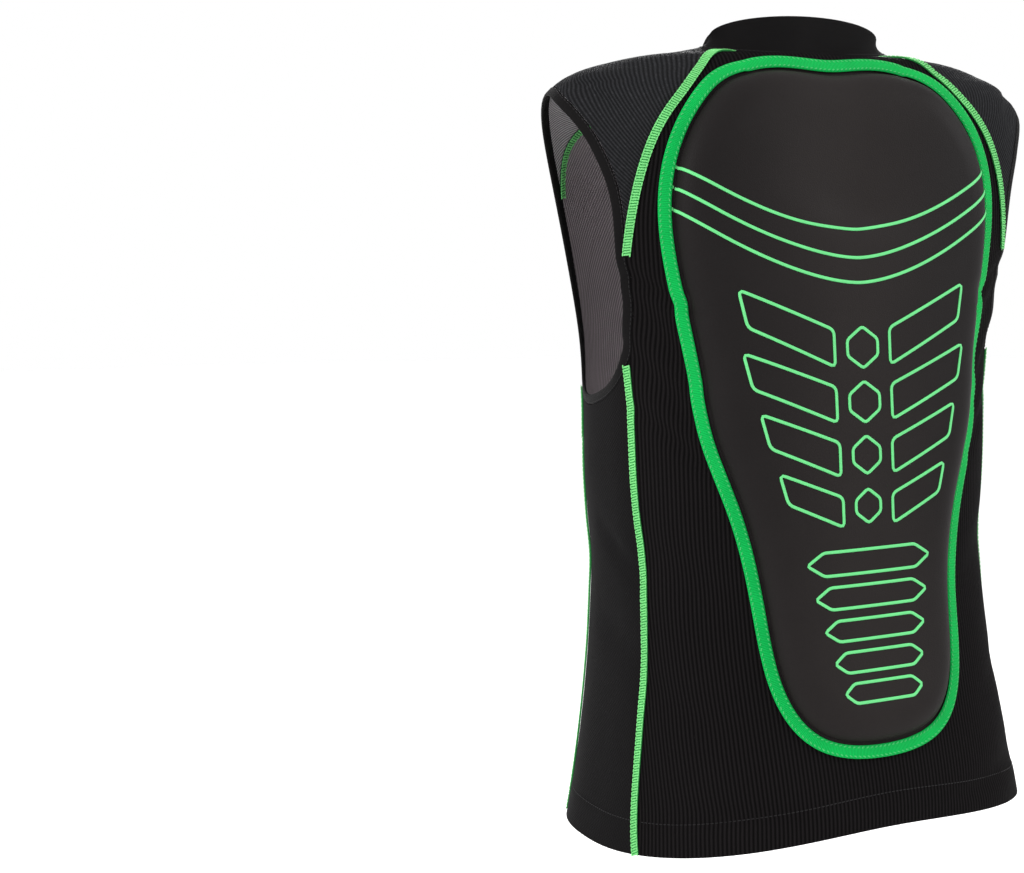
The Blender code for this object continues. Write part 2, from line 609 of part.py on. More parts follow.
def make_seams(side, word):
    """The green tapes over the seams of one side."""
    high = len(PRINCESS) - 1
    shared = (TAPE_WIDTH, TAPE_LIFT, TAPE_THICKNESS, "seam_tape", side)
    trim = (LIFT, LIFT)
    strip(f"princess_seam_{word}",
          join(stretch(PRINCESS, 0, PRINCESS_FORK, LOW_CELLS),
               stretch(PRINCESS, PRINCESS_FORK, high, HIGH_CELLS)), *shared, trim=trim)
    strip(f"side_front_seam_{word}", stretch(SIDE_FRONT, 0.75, len(SIDE_FRONT) - 1, FORK_CELLS),
          *shared, trim=trim)
    strip(f"side_back_seam_{word}",
          stretch(SIDE_BACK, 0, len(SIDE_BACK) - 1, LOW_CELLS + FORK_CELLS), *shared, trim=trim)
    raglan = stretch(RAGLAN, 0, len(RAGLAN) - 1, YOKE_CELLS)
    raglan[0] = natural_spline(RAGLAN, RAGLAN_TAPE_START)
    strip(f"raglan_seam_{word}", raglan, TAPE_WIDTH, RAGLAN_LIFT, TAPE_THICKNESS, "seam_tape", side,
          trim=(LIFT, TAPE_WIDTH))


def make_zip():
    """Zip tapes, coil and bottom stop at the front."""
    cells = LOW_CELLS + HIGH_CELLS
    for side, word in ((1, "left"), (-1, "right")):
        middle = COIL_WIDTH / 2 + ZIP_CLEARANCE + ZIP_TAPE_WIDTH / 2
        line = join(zip_line(middle, cells),
                    zip_line(middle, COLLAR_CELLS, COLLAR_SEAM, COLLAR_TOP - 0.1))
        strip(f"zip_tape_{word}", line, ZIP_TAPE_WIDTH, ZIP_BACK, ZIP_TAPE_THICKNESS,
              "zip_tape", side, trim=(LIFT, LIFT))
    line = join(zip_line(0, cells), zip_line(0, 1, COLLAR_SEAM, SLIDER_LEVEL))
    strip("zip_coil", line, COIL_WIDTH, ZIP_BACK, COIL_THICKNESS, "zip_coil",
          trim=(STOP_LENGTH, SLIDER_LENGTH / 2 + ZIP_CLEARANCE * 2))
    frame = zip_frame(STOP_LEVEL)
    low = ZIP_BACK + ZIP_TAPE_THICKNESS + ZIP_CLEARANCE
    stop = block("zip_bottom_stop", (-SLIDER_WIDTH / 2, SLIDER_WIDTH / 2),
                 (0, STOP_LENGTH - LIFT * 3), (low, -LIFT), "zip_coil")
    stop.matrix_world = frame


def zip_frame(level):
    """A frame on the front's middle line: X across, Y up the zip, Z out from the body."""
    origin = body_point(-90, level)
    out = body_normal(-90, level)
    across = np.array([1.0, 0.0, 0.0])
    up = np.cross(out, across)
    frame = Matrix((across, up, out)).transposed().to_4x4()
    frame.translation = Vector(origin)
    return frame


def block(name, across, up, out, finish):
    """A box between the given limits along its own X, Y and Z."""
    edit = bmesh.new()
    bmesh.ops.create_cube(edit, size=1)
    for vert in edit.verts:
        for axis, (low, high) in enumerate((across, up, out)):
            vert.co[axis] = low if vert.co[axis] < 0 else high
    return add_solid(name, edit, finish)


def fuse(body, *others):
    """Join boxes to the first with Boolean unions and take them out of the scene."""
    for other in others:
        other.matrix_world = body.matrix_world
        union = body.modifiers.new("fuse_" + other.name, "BOOLEAN")
        union.operation = "UNION"
        union.solver = "EXACT"
        union.object = other
        other.hide_render = True
        other.display_type = "WIRE"
    return body


def make_slider():
    """The slider: plates before and behind the coil, a post over its end and a bridge for the pull."""
    half = SLIDER_LENGTH / 2
    front_low = ZIP_BACK + COIL_THICKNESS + ZIP_CLEARANCE
    front_high = front_low + SLIDER_PLATE
    back_high = ZIP_BACK - ZIP_CLEARANCE
    post = COIL_WIDTH / 2 - 0.0002
    wide = (-SLIDER_WIDTH / 2, SLIDER_WIDTH / 2)
    bridge = (-BRIDGE_WIDTH / 2, BRIDGE_WIDTH / 2)
    room = 2 * HINGE_RADIUS + 2 * HINGE_CLEARANCE
    top = front_high + room + BRIDGE_BAR
    slider = block("zip_slider", wide, (-half, half), (front_low, front_high), "slider_metal")
    slider.matrix_world = zip_frame(SLIDER_LEVEL)
    parts = [
        block("slider_back_plate", wide, (-half, half), (back_high - SLIDER_PLATE, back_high),
              "slider_metal"),
        block("slider_post", (-post, post), (half - 0.0026, half - 0.0004),
              (back_high - SLIDER_PLATE / 2, front_low + SLIDER_PLATE / 2), "slider_metal"),
        block("slider_bridge_low", bridge, (-BRIDGE_REACH, -BRIDGE_REACH + BRIDGE_BAR),
              (front_low + SLIDER_PLATE / 2, top), "slider_metal"),
        block("slider_bridge_high", bridge, (BRIDGE_REACH - BRIDGE_BAR, BRIDGE_REACH),
              (front_low + SLIDER_PLATE / 2, top), "slider_metal"),
        block("slider_bridge_bar", bridge, (-BRIDGE_REACH + BRIDGE_BAR / 2,
                                            BRIDGE_REACH - BRIDGE_BAR / 2),
              (top - BRIDGE_BAR, top - 0.00005), "slider_metal"),
    ]
    fuse(slider, *parts)
    return front_high + HINGE_RADIUS + HINGE_CLEARANCE


def make_pull(hinge_height):
    """The pull tab: a bar under the slider's bridge, two arms past it and a tab that hangs from them."""
    inside = BRIDGE_WIDTH / 2 + HINGE_CLEARANCE
    outside = inside + ARM_WIDTH
    half = PULL_THICKNESS / 2
    start = -(BRIDGE_REACH + HINGE_CLEARANCE * 2)
    pull = block("zip_pull", (-PULL_WIDTH / 2, PULL_WIDTH / 2), (-PULL_LENGTH, start), (-half, half),
                 "pull_rubber")
    frame = zip_frame(SLIDER_LEVEL) @ Matrix.Translation((0, 0, hinge_height))
    rest = Vector(lifted(np.array([-90.0, PULL_REST_LEVEL]), np.array(PULL_REST_HEIGHT)))
    aim = frame.inverted() @ rest
    tilt = np.arctan2(aim.z, -aim.y)
    pull.matrix_world = frame @ Matrix.Rotation(-tilt, 4, "X")
    parts = [
        block("pull_arm_left", (inside, outside), (start - 0.001, HINGE_RADIUS), (-half, half),
              "pull_rubber"),
        block("pull_arm_right", (-outside, -inside), (start - 0.001, HINGE_RADIUS), (-half, half),
              "pull_rubber"),
        block("pull_bar", (-outside + 0.0002, outside - 0.0002),
              (-HINGE_RADIUS + 0.00005, HINGE_RADIUS - 0.00005),
              (-HINGE_RADIUS + 0.00005, HINGE_RADIUS - 0.00005), "pull_rubber"),
    ]
    fuse(pull, *parts)


def make_label():
    """The small sewn label on the wearer's left chest."""
    corners = np.array(LABEL_CORNERS, float)
    u = np.linspace(0, 1, LABEL_CELLS + 1)[None, :, None]
    v = np.linspace(0, 1, 3)[:, None, None]
    bottom = (1 - u) * corners[0] + u * corners[1]
    top = (1 - u) * corners[3] + u * corners[2]
    places = (1 - v) * bottom + v * top
    outer = lifted(places, np.full(places.shape[:2], LIFT + LABEL_THICKNESS))
    inner = lifted(places, np.full(places.shape[:2], LIFT))
    sheet_solid("chest_label", outer, inner, "label")


def clear_scene():
    """Remove every object that the scene starts with."""
    for old in list(bpy.data.objects):
        bpy.data.objects.remove(old, do_unlink=True)


def main():
    """Build every piece."""
    clear_scene()
    for side, word in ((1, "left"), (-1, "right")):
        make_front(side, word)
        make_side(side, word)
        make_arm_binding(side, word)
        make_seams(side, word)
    make_back()
    make_pad()
    make_pocket()
    make_collar()
    make_zip()
    make_pull(make_slider())
    make_label()


main()
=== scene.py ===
"""A back protector vest with a moulded back pad: its cloth, pad, seams, zip and a plain studio."""

from collections import namedtuple

import bpy
import bmesh
import numpy as np
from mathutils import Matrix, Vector


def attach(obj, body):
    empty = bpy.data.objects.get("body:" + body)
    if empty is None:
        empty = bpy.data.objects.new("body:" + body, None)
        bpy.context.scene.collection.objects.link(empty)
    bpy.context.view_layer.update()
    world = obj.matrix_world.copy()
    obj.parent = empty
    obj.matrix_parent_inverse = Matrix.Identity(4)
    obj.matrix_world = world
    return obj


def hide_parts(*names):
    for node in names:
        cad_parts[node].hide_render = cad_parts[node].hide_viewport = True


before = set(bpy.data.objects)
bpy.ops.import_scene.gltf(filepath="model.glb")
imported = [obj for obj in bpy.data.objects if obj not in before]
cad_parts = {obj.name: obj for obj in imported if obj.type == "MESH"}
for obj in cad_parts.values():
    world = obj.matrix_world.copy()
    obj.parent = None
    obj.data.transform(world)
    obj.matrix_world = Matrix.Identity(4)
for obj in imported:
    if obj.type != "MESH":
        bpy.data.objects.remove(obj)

bl_info = {
    "name": "Back protector vest",
    "version": (1, 0, 0),
    "blender": (4, 5, 0),
    "location": "3D View > Sidebar > Vest",
    "description": "Makes a back protector vest with its pad, seams and zip, and a plain studio round it",
    "category": "Object",
}

# Overall lengths that the tables below are shares of, in metres
BODY_LENGTH = 0.625
SHOULDER_HALF = 0.219
CHEST_DEPTH = 0.150
BACK_DEPTH = 0.150
FOLD_DEPTH = 0.0058
SHOULDER_TOP = 7.0
COLLAR_SEAM = 8.0
COLLAR_TOP = 9.0
SLIDER_LEVEL = 8.62

# Rings from hem to collar: heights are shares of BODY_LENGTH, widths of SHOULDER_HALF, depths of
# CHEST_DEPTH and BACK_DEPTH; squareness is the power of the ring's outline before and behind the axis
Section = namedtuple("Section", "name side front back width front_depth back_depth"
                                " squareness back_squareness fall")
SECTIONS = [
    Section("hem", -1.000, -1.008, -0.970, 0.890, 0.970, 1.000, 2.40, 2.40, 2.00),
    Section("hip", -0.900, -0.896, -0.892, 0.822, 0.980, 0.947, 2.50, 2.50, 2.00),
    Section("waist", -0.704, -0.704, -0.714, 0.758, 1.000, 0.733, 2.50, 2.50, 2.00),
    Section("ribs", -0.534, -0.532, -0.534, 0.776, 0.995, 0.647, 2.50, 2.50, 2.00),
    Section("armpit", -0.405, -0.405, -0.395, 0.795, 0.930, 0.600, 2.50, 2.50, 2.00),
    Section("chest", -0.269, -0.372, -0.245, 0.904, 0.895, 0.540, 2.40, 2.40, 2.10),
    Section("shoulder_tip", -0.099, -0.326, -0.190, 1.000, 0.800, 0.467, 2.30, 2.30, 2.30),
    Section("shoulder_top", -0.025, -0.277, -0.025, 0.808, 0.690, 0.337, 2.25, 2.15, 1.95),
    Section("collar_seam", 0.000, -0.252, -0.006, 0.430, 0.595, 0.155, 2.90, 2.00, 1.57),
    Section("collar_top", 0.019, -0.233, 0.045, 0.358, 0.570, 0.110, 2.80, 2.00, 1.57),
]

# Seams on the wearer's left, as (angle, level); the right side mirrors them
PRINCESS = [(-24, 0), (-25, 1), (-26, 2), (-28.5, 3), (-33.5, 4.1), (-38.0, 5.1),
            (-40.8, 6.1), (-39.5, 7.1), (-32, 8)]
PRINCESS_FORK = 3
SIDE_FRONT = [(-28.5, 3), (-26.5, 3.35), (-24.5, 3.78)]
SIDE_BACK = [(20, 0), (17, 0.9), (15, 1.8), (12.5, 2.6), (11.5, 3.4), (11, 4.12)]
YOKE_FRONT = [(-27.8, 5.65), (-27, 6.1), (-28, 6.9), (-26, 8)]
RAGLAN_TAPE_START = 0.07
RAGLAN = [(14.8, 5.05), (17.5, 5.6), (20.5, 6.25), (21.5, 6.9), (15.5, 8)]
# The armhole's cut edge, round from the shoulder top by the back; the seams end on its rows
ARMHOLE = [(-6, 6.52), (12.5, 5.80), (14.8, 5.05), (11, 4.12), (-7, 3.68), (-24.5, 3.78),
           (-32.2, 4.60), (-27.8, 5.65)]
ARM_RAGLAN, ARM_SIDE_BACK, ARM_SIDE_FRONT, ARM_YOKE = 2, 3, 5, 7

# Half of each outline on the back, as (degrees from the back's middle, level), bottom to top
PAD_OUTLINE = [(0, 1.12), (22, 1.23), (36, 1.60), (43, 2.10), (50, 2.70), (58.5, 3.40), (63, 4.20),
               (67, 5.00), (68, 5.70), (65, 6.50), (57, 7.00), (30, 7.06), (0, 7.03)]
PAD_SPINE = (2.3, 6.0)
POCKET_OUTLINE = [(0, 0.98), (26, 1.10), (41, 1.55), (48, 2.20), (56, 2.85), (65, 3.50), (69, 4.30),
                  (70, 5.00), (68, 5.60), (64, 6.15), (54, 6.58), (28, 6.70), (0, 6.70)]
POCKET_SPINE = (2.3, 5.6)
LABEL_CORNERS = [(-67, 4.02), (-45, 4.02), (-48, 4.50), (-69, 4.86)]

# Soft folds and finer creases: a line between two places, its width in millimetres, its share of FOLD_DEPTH
Fold = namedtuple("Fold", "angle_from level_from angle_to level_to width depth")
FOLDS = [
    Fold(13, 4.85, 27, 3.95, 10, 0.75),
    Fold(12, 4.30, 27, 3.60, 9, 0.60),
    Fold(6, 6.60, 12, 5.95, 9, 0.45),
    Fold(14, 2.45, 40, 2.05, 16, 0.55),
    Fold(-24, 2.30, -45, 2.05, 16, 0.40),
    Fold(30, 0.75, 60, 0.45, 16, 0.60),
    Fold(12, 5.00, 30, 4.55, 5, 0.45),
    Fold(13, 3.70, 33, 3.10, 6, 0.40),
    Fold(-2, 6.75, 16, 6.10, 5, 0.35),
    Fold(2, 6.45, 12, 6.65, 5, 0.30),
    Fold(16, 1.60, 44, 1.30, 9, 0.30),
    Fold(-8, 2.55, 12, 2.25, 8, 0.40),
    Fold(-10, 1.90, 14, 1.75, 9, 0.30),
    Fold(-50, 7.60, -75, 7.30, 6, 0.20),
]
DEGREE_SPAN = 3.0
LEVEL_SPAN = 85.0

# Cells along each seam and edge before they are divided by FINE
FINE = 5
LOW_CELLS = 11 * FINE
FORK_CELLS = 3 * FINE
HIGH_CELLS = 11 * FINE
ARM_FRONT_CELLS = HIGH_CELLS + 1 - FORK_CELLS
FRONT_CELLS = 8 * FINE
SIDE_CELLS = 6 * FINE
YOKE_CELLS = 6 * FINE
YOKE_ACROSS = 7 * FINE
ARM_BACK_CELLS = 4 * FINE
HEM_BACK_CELLS = 8 * FINE
NECK_BACK_CELLS = 5 * FINE
SHELL_RINGS = 4 * FINE
COLLAR_CELLS = 8
POCKET_STATIONS = 240
BINDING_STATIONS = 420
DENSE_STATIONS = 900
EDGE_STATIONS = 1440
SIDES = ((1, "left"), (-1, "right"))
SHARP_ANGLE = 50
BEVEL_ANGLE = 55

# Where the pad's outline is looked at from, and half its reach each way, as (angle, level)
PAD_CENTRE = (90.0, 4.1)
PAD_REACH = (62.0, 3.6)
# Half the width of the zip's opening, and where the outer front starts along its two side seams
ZIP_HALF_OPENING = 0.0051
FORK_START = 0.22
FORK_SHARE = 0.4


def length_property(name, description, value, low, high):
    """A length in metres with its limits."""
    return bpy.props.FloatProperty(
        name=name, description=description, default=value, min=low, max=high, unit="LENGTH")


class VestSizes(bpy.types.PropertyGroup):
    """Lengths that a maker would change."""

    cloth: length_property(
        "Cloth", "Thickness of the shell cloth", 0.0020, 0.0005, 0.004)
    seam_gap: length_property(
        "Seam gap", "Gap between the cut edges of two panels", 0.0002, 0.0001, 0.003)
    tape_width: length_property(
        "Seam tape width", "Width of the green flat seams", 0.0070, 0.003, 0.015)
    thread_pitch: length_property(
        "Thread pitch", "Distance between the cross threads of a flat seam", 0.0021, 0.001, 0.006)
    pad_thickness: length_property(
        "Pad thickness", "Height of the back pad over the shell", 0.0160, 0.005, 0.03)
    pad_flange: length_property(
        "Pad rim", "Width of the pad's flat rim under its binding", 0.0078, 0.003, 0.015)
    pad_shoulder: length_property(
        "Pad shoulder", "Length over which the pad rises to its full height", 0.0280, 0.01, 0.05)
    binding_width: length_property(
        "Pad binding width", "Width of the green binding round the pad", 0.0105, 0.006, 0.02)
    line_width: length_property(
        "Print line width", "Width of the raised lines on the pad", 0.0026, 0.001, 0.006)
    line_height: length_property(
        "Print line height", "Height of the raised lines on the pad", 0.0007, 0.0002, 0.002)
    rib_pitch: length_property(
        "Rib pitch", "Distance between the ribs of the shell knit", 0.0034, 0.001, 0.01)
    stitch_length: length_property(
        "Stitch length", "Length of one stitch of the hem and placket", 0.0026, 0.001, 0.006)
    arm_binding_width: length_property(
        "Arm binding width", "Width of the armhole binding", 0.0080, 0.004, 0.015)
    collar_thickness: length_property(
        "Collar thickness", "Thickness of the folded collar", 0.0028, 0.001, 0.006)


def colour_property(name, description, value):
    """A linear colour that shows a swatch in the panel."""
    return bpy.props.FloatVectorProperty(
        name=name, description=description, default=value, size=3, min=0, max=1, subtype="COLOR")


class VestColours(bpy.types.PropertyGroup):
    """Colours of the vest's finishes, as linear values."""

    shell: colour_property("Shell", "Near-black shell knit", (0.0074, 0.0066, 0.0069))
    lining: colour_property("Lining", "Inner face of the shell knit", (0.290, 0.255, 0.270))
    yoke: colour_property("Yoke", "Dark mesh over the shoulders", (0.0150, 0.0152, 0.0165))
    side: colour_property("Side", "Smooth black side panels", (0.0070, 0.0065, 0.0068))
    collar: colour_property("Collar", "Black elastic of collar and armholes", (0.0065, 0.0060, 0.0062))
    pad: colour_property("Pad", "Dark cover of the back pad", (0.0110, 0.0096, 0.0096))
    print_line: colour_property("Print", "Light green raised lines", (0.120, 0.540, 0.190))
    seam: colour_property("Seam", "Light green flat seams", (0.190, 0.660, 0.210))
    seam_shade: colour_property("Seam shade", "Dark green thread in the seams", (0.020, 0.240, 0.050))
    binding: colour_property("Binding", "Green bound edge round the pad", (0.002, 0.340, 0.060))
    label: colour_property("Label", "Green chest patch", (0.040, 0.430, 0.065))
    pocket: colour_property("Pocket", "Maroon air mesh", (0.085, 0.036, 0.045))
    overlock: colour_property("Overlock", "Dark green overlock thread", (0.005, 0.040, 0.017))
    zip_tape: colour_property("Zip tape", "Dark grey zip tape", (0.0190, 0.0190, 0.0225))
    metal: colour_property("Metal", "Bright slider metal", (0.62, 0.60, 0.56))
    rubber: colour_property("Rubber", "Dark grey pull tab", (0.015, 0.015, 0.017))


def sizes():
    """The lengths set in the panel."""
    return bpy.context.scene.vest_sizes


def colours():
    """The colours set in the panel."""
    return bpy.context.scene.vest_colours


def natural_spline(rows, at):
    """Cubic curve through rows at 0, 1, 2, ... with no bend at its ends, read at the numbers in at."""
    rows = np.asarray(rows, float)
    count = len(rows)
    left = np.eye(count)
    right = np.zeros((count, count))
    inner = np.arange(1, count - 1)
    for shift, l_value, r_value in ((-1, 1, 6), (0, 4, -12), (1, 1, 6)):
        left[inner, inner + shift] = l_value
        right[inner, inner + shift] = r_value
    bend = np.linalg.solve(left, right @ rows)
    at = np.asarray(at, float)
    step = np.clip(np.floor(at).astype(int), 0, count - 2)
    b = (at - step)[..., None]
    a = 1 - b
    return (a * rows[step] + b * rows[step + 1]
            + ((a ** 3 - a) * bend[step] + (b ** 3 - b) * bend[step + 1]) / 6)


def closed_spline(rows, at):
    """Cubic curve through rows at 0, 1, 2, ... and back to the first, read at the numbers in at."""
    rows = np.asarray(rows, float)
    count = len(rows)
    wrapped = np.concatenate([rows] * 3)
    return natural_spline(wrapped, np.asarray(at, float) % count + count)


def fold_depth(angle, level):
    """How far the soft folds pull the cloth in: a bell across each fold's line, faded at its ends.

    x is the angle on the wearer's left that mirrors the given one.
    """
    x = 90 - np.abs((angle + 90) % 360 - 180)
    total = np.zeros_like(x, float)
    for fold in FOLDS:
        start = np.array([fold.angle_from * DEGREE_SPAN, fold.level_from * LEVEL_SPAN])
        end = np.array([fold.angle_to * DEGREE_SPAN, fold.level_to * LEVEL_SPAN])
        run = end - start
        place = np.stack([x * DEGREE_SPAN, level * LEVEL_SPAN], -1) - start
        along = np.clip(place @ run / (run @ run), 0, 1)
        away = np.linalg.norm(place - along[..., None] * run, axis=-1)
        fade = np.sin(np.pi * (0.15 + 0.7 * along))
        total += fold.depth * FOLD_DEPTH * fade * np.exp(-(away / fold.width) ** 2)
    return total


def body_point(angle, level, folded=True):
    """A place on the body surface: a rounded-square ring, its height falling from side to middle.

    Above the shoulders' top row and behind the axis, the height goes with the distance behind it.
    """
    angle, level = np.broadcast_arrays(np.asarray(angle, float), np.asarray(level, float))
    table = [row[1:] for row in SECTIONS]
    side, front, back, width, deep_front, deep_back, power, back_power, fall = np.moveaxis(
        natural_spline(table, level), -1, 0)
    turn = np.radians(angle)
    across, along = np.cos(turn), np.sin(turn)
    depth = np.where(along > 0, deep_back * BACK_DEPTH, deep_front * CHEST_DEPTH)
    power = np.where(along > 0, back_power, power)
    reach = ((np.abs(across) / (width * SHOULDER_HALF)) ** power
             + (np.abs(along) / depth) ** power) ** (-1 / power)
    if folded:
        reach = reach - fold_depth(angle, level)
    middle = np.where(along > 0, back, front)
    share = np.abs(along) ** np.where(along > 0, 2.0, fall)
    stands = (along > 0) & (level > SHOULDER_TOP)
    share = np.where(stands, reach * np.abs(along) / depth, share)
    height = (side + (middle - side) * share) * BODY_LENGTH
    return np.stack([reach * across, reach * along, height], -1)


def body_normal(angle, level):
    """Outward direction: the cross product of the steps round the body and up it."""
    round_step = body_point(angle + 0.2, level) - body_point(angle - 0.2, level)
    up_step = body_point(angle, level + 0.01) - body_point(angle, level - 0.01)
    normal = np.cross(round_step, up_step)
    return normal / np.linalg.norm(normal, axis=-1, keepdims=True)


def lifted(places, height):
    """Points at a height over the body surface, for places (..., 2) of angle and level."""
    angle, level = places[..., 0], places[..., 1]
    return body_point(angle, level) + body_normal(angle, level) * np.asarray(height)[..., None]


def stretch(rows, start, end, cells):
    """Stations along a seam between two of its rows, both ends included."""
    return natural_spline(rows, np.linspace(start, end, cells + 1))


def arm_stretch(start, end, cells):
    """Stations along the armhole's edge, from one of its rows to another."""
    return closed_spline(ARMHOLE, np.linspace(start, end, cells + 1))


def ring_stretch(level, start, end, cells):
    """Stations along a ring, between two angles."""
    angles = np.linspace(start, end, cells + 1)
    return np.stack([angles, np.full(cells + 1, float(level))], -1)


def join(*runs):
    """Runs of stations end to end, without repeating where they meet."""
    return np.concatenate([runs[0]] + [run[1:] for run in runs[1:]])


def zip_line(offset, cells, start=0.0, end=COLLAR_SEAM):
    """Stations up the front at a distance from its middle, towards the wearer's left."""
    level = np.linspace(start, end, cells + 1)
    depth = natural_spline([[row.front_depth] for row in SECTIONS], level)[:, 0] * CHEST_DEPTH
    return np.stack([-90 + np.degrees(np.arctan2(offset, depth)), level], -1)


def blend_patch(bottom, top, left, right):
    """Places inside four joined edges: the two pairs of edges blended, less their corners' blend."""
    u = np.linspace(0, 1, len(bottom))[None, :, None]
    v = np.linspace(0, 1, len(left))[:, None, None]
    sides = (1 - u) * left[:, None] + u * right[:, None]
    ends = (1 - v) * bottom[None] + v * top[None]
    corners = ((1 - u) * (1 - v) * bottom[0] + u * (1 - v) * bottom[-1]
               + (1 - u) * v * top[0] + u * v * top[-1])
    return sides + ends - corners


def away_from(edge, inner):
    """Unit directions from an edge's points towards the row inside it, square to the edge."""
    tangent = np.gradient(edge, axis=0)
    tangent /= np.linalg.norm(tangent, axis=1, keepdims=True)
    inward = inner - edge
    inward -= (inward * tangent).sum(1, keepdims=True) * tangent
    return inward / np.linalg.norm(inward, axis=1, keepdims=True)


def pull_in(points, distance):
    """Draw the four edges of a grid of points inwards by a distance."""
    result = points.copy()
    result[0] += away_from(points[0], points[1]) * distance
    result[-1] += away_from(points[-1], points[-2]) * distance
    result[:, 0] += away_from(points[:, 0], points[:, 1]) * distance
    result[:, -1] += away_from(points[:, -1], points[:, -2]) * distance
    return result


def mirrored(places):
    """The same places on the wearer's right."""
    return np.stack([180 - places[..., 0], places[..., 1]], -1)


def half_outline(rows, count):
    """A closed outline on the back from half of it: count stations from the bottom middle round."""
    right = [(90 + degrees, level) for degrees, level in rows]
    left = [(90 - degrees, level) for degrees, level in rows[-2:0:-1]]
    loop = np.array(right + left, float)
    return closed_spline(loop, np.arange(count) * len(loop) / count)


def shell_outer_loop():
    """The back shell's edge, from the hem's middle towards the wearer's right and all round."""
    left = join(
        ring_stretch(0, 90, SIDE_BACK[0][0], HEM_BACK_CELLS),
        stretch(SIDE_BACK, 0, len(SIDE_BACK) - 1, LOW_CELLS + FORK_CELLS),
        arm_stretch(ARM_SIDE_BACK, ARM_RAGLAN, ARM_BACK_CELLS),
        stretch(RAGLAN, 0, len(RAGLAN) - 1, YOKE_CELLS),
        ring_stretch(COLLAR_SEAM, RAGLAN[-1][0], 90, NECK_BACK_CELLS))
    right = mirrored(left)
    return np.concatenate([right, left[::-1][1:-1]])


def outline_facing(rows, places):
    """The outline's places that lie in the same directions from the pad's middle as the places."""
    dense = half_outline(rows, EDGE_STATIONS)
    centre = np.array(PAD_CENTRE)
    scale = 1 / np.array(PAD_REACH)

    def direction(points):
        offset = (points - centre) * scale
        return np.arctan2(offset[:, 0], -offset[:, 1]) % (2 * np.pi)

    known = direction(dense)
    order = np.argsort(known)
    wanted = direction(places)
    angle = np.interp(wanted, known[order], dense[order, 0], period=2 * np.pi)
    level = np.interp(wanted, known[order], dense[order, 1], period=2 * np.pi)
    return np.stack([angle, level], -1)


def ridge_places(outline, spine):
    """For each place of an outline, the place on the back's middle line that it faces."""
    level = np.clip(outline[:, 1], *spine)
    return np.stack([np.full(len(outline), 90.0), level], -1)


def looped_inward(edge, inside):
    """Directions from a looped edge to the row inside it, square to the edge."""
    edge = np.concatenate([edge[-1:], edge, edge[:1]])
    inside = np.concatenate([inside[-1:], inside, inside[:1]])
    return away_from(edge, inside)[1:-1]


def inward_share(outline, ridge, inward, distance):
    """Share of the way from an outline to its ridge at which a place lies a distance inside the edge."""
    edge = body_point(*outline.T)
    share = np.full(len(outline), 0.1)
    for _ in range(6):
        place = outline + (ridge - outline) * share[:, None]
        covered = ((body_point(*place.T) - edge) * inward).sum(1)
        share = np.clip(share * distance / covered, 0.001, 0.9)
    return share


def pad_rings(outline, spine, distances, steps):
    """Places from an outline in to its ridge: rings at distances from the edge, then shares of the rest.

    Returns the places (rings, stations, 2) and how far each ring lies from the edge.
    """
    ridge = ridge_places(outline, spine)
    edge = body_point(*outline.T)
    inward = looped_inward(edge, body_point(*(outline + (ridge - outline) * 0.05).T))
    left = [np.ones(len(outline))]
    left += [1 - inward_share(outline, ridge, inward, distance) for distance in distances[1:]]
    left += [left[-1] * step for step in steps]
    places = ridge[None] + (outline - ridge)[None] * np.array(left)[..., None]
    away = np.array(list(distances) + [distances[-1]] * len(steps))
    return places, np.broadcast_to(away[:, None], places.shape[:2])


def dome_height(distance):
    """The pad's rise: level on its rim, a quarter round over its shoulder, then level."""
    rise = np.clip((distance - sizes().pad_flange) / sizes().pad_shoulder, 0, 1)
    return sizes().pad_thickness * np.sqrt(1 - (1 - rise) ** 2)


def cloth_lengths(places, centre, steps=24):
    """Distances along the cloth, round it from a centre line and up it from the hem, in metres.

    Each is the length of a chain of short steps over the unfolded body, all computed at once.
    """
    angle, level = places[..., 0], places[..., 1]
    share = np.linspace(0, 1, steps + 1)
    turned = centre + (angle - centre)[..., None] * share
    round_path = body_point(turned, level[..., None], folded=False)
    risen = level[..., None] * share
    up_path = body_point(angle[..., None], risen, folded=False)
    u = np.linalg.norm(np.diff(round_path, axis=-2), axis=-1).sum(-1) * np.sign(angle - centre)
    v = np.linalg.norm(np.diff(up_path, axis=-2), axis=-1).sum(-1)
    return np.stack([u, v], -1)


def skin_quads(grid):
    """Quads over a grid of indices."""
    return np.stack([grid[:-1, :-1], grid[:-1, 1:], grid[1:, 1:], grid[1:, :-1]], -1).reshape(-1, 4)


def rim_quads(over, under):
    """Quads of the wall along one edge, between two rows of indices."""
    return np.stack([over[1:], over[:-1], under[:-1], under[1:]], -1)


def shell_quads(over, under, looped, ridged):
    """Quads of two skins and the rims between them; looped by columns, ridged with no last rim."""
    walls = [rim_quads(over[0], under[0])]
    if not ridged:
        walls.append(rim_quads(over[-1][::-1], under[-1][::-1]))
    if not looped:
        walls.append(rim_quads(over[::-1, 0], under[::-1, 0]))
        walls.append(rim_quads(over[:, -1], under[:, -1]))
    return np.concatenate([skin_quads(over), skin_quads(under)[:, ::-1]] + walls)


def signed_volume(points, quads):
    """Six times the volume inside the quads: the sum of the triple products of their two triangles."""
    a, b, c, d = (points[quads[:, i]] for i in range(4))
    return (a * (np.cross(b, c) + np.cross(c, d))).sum()


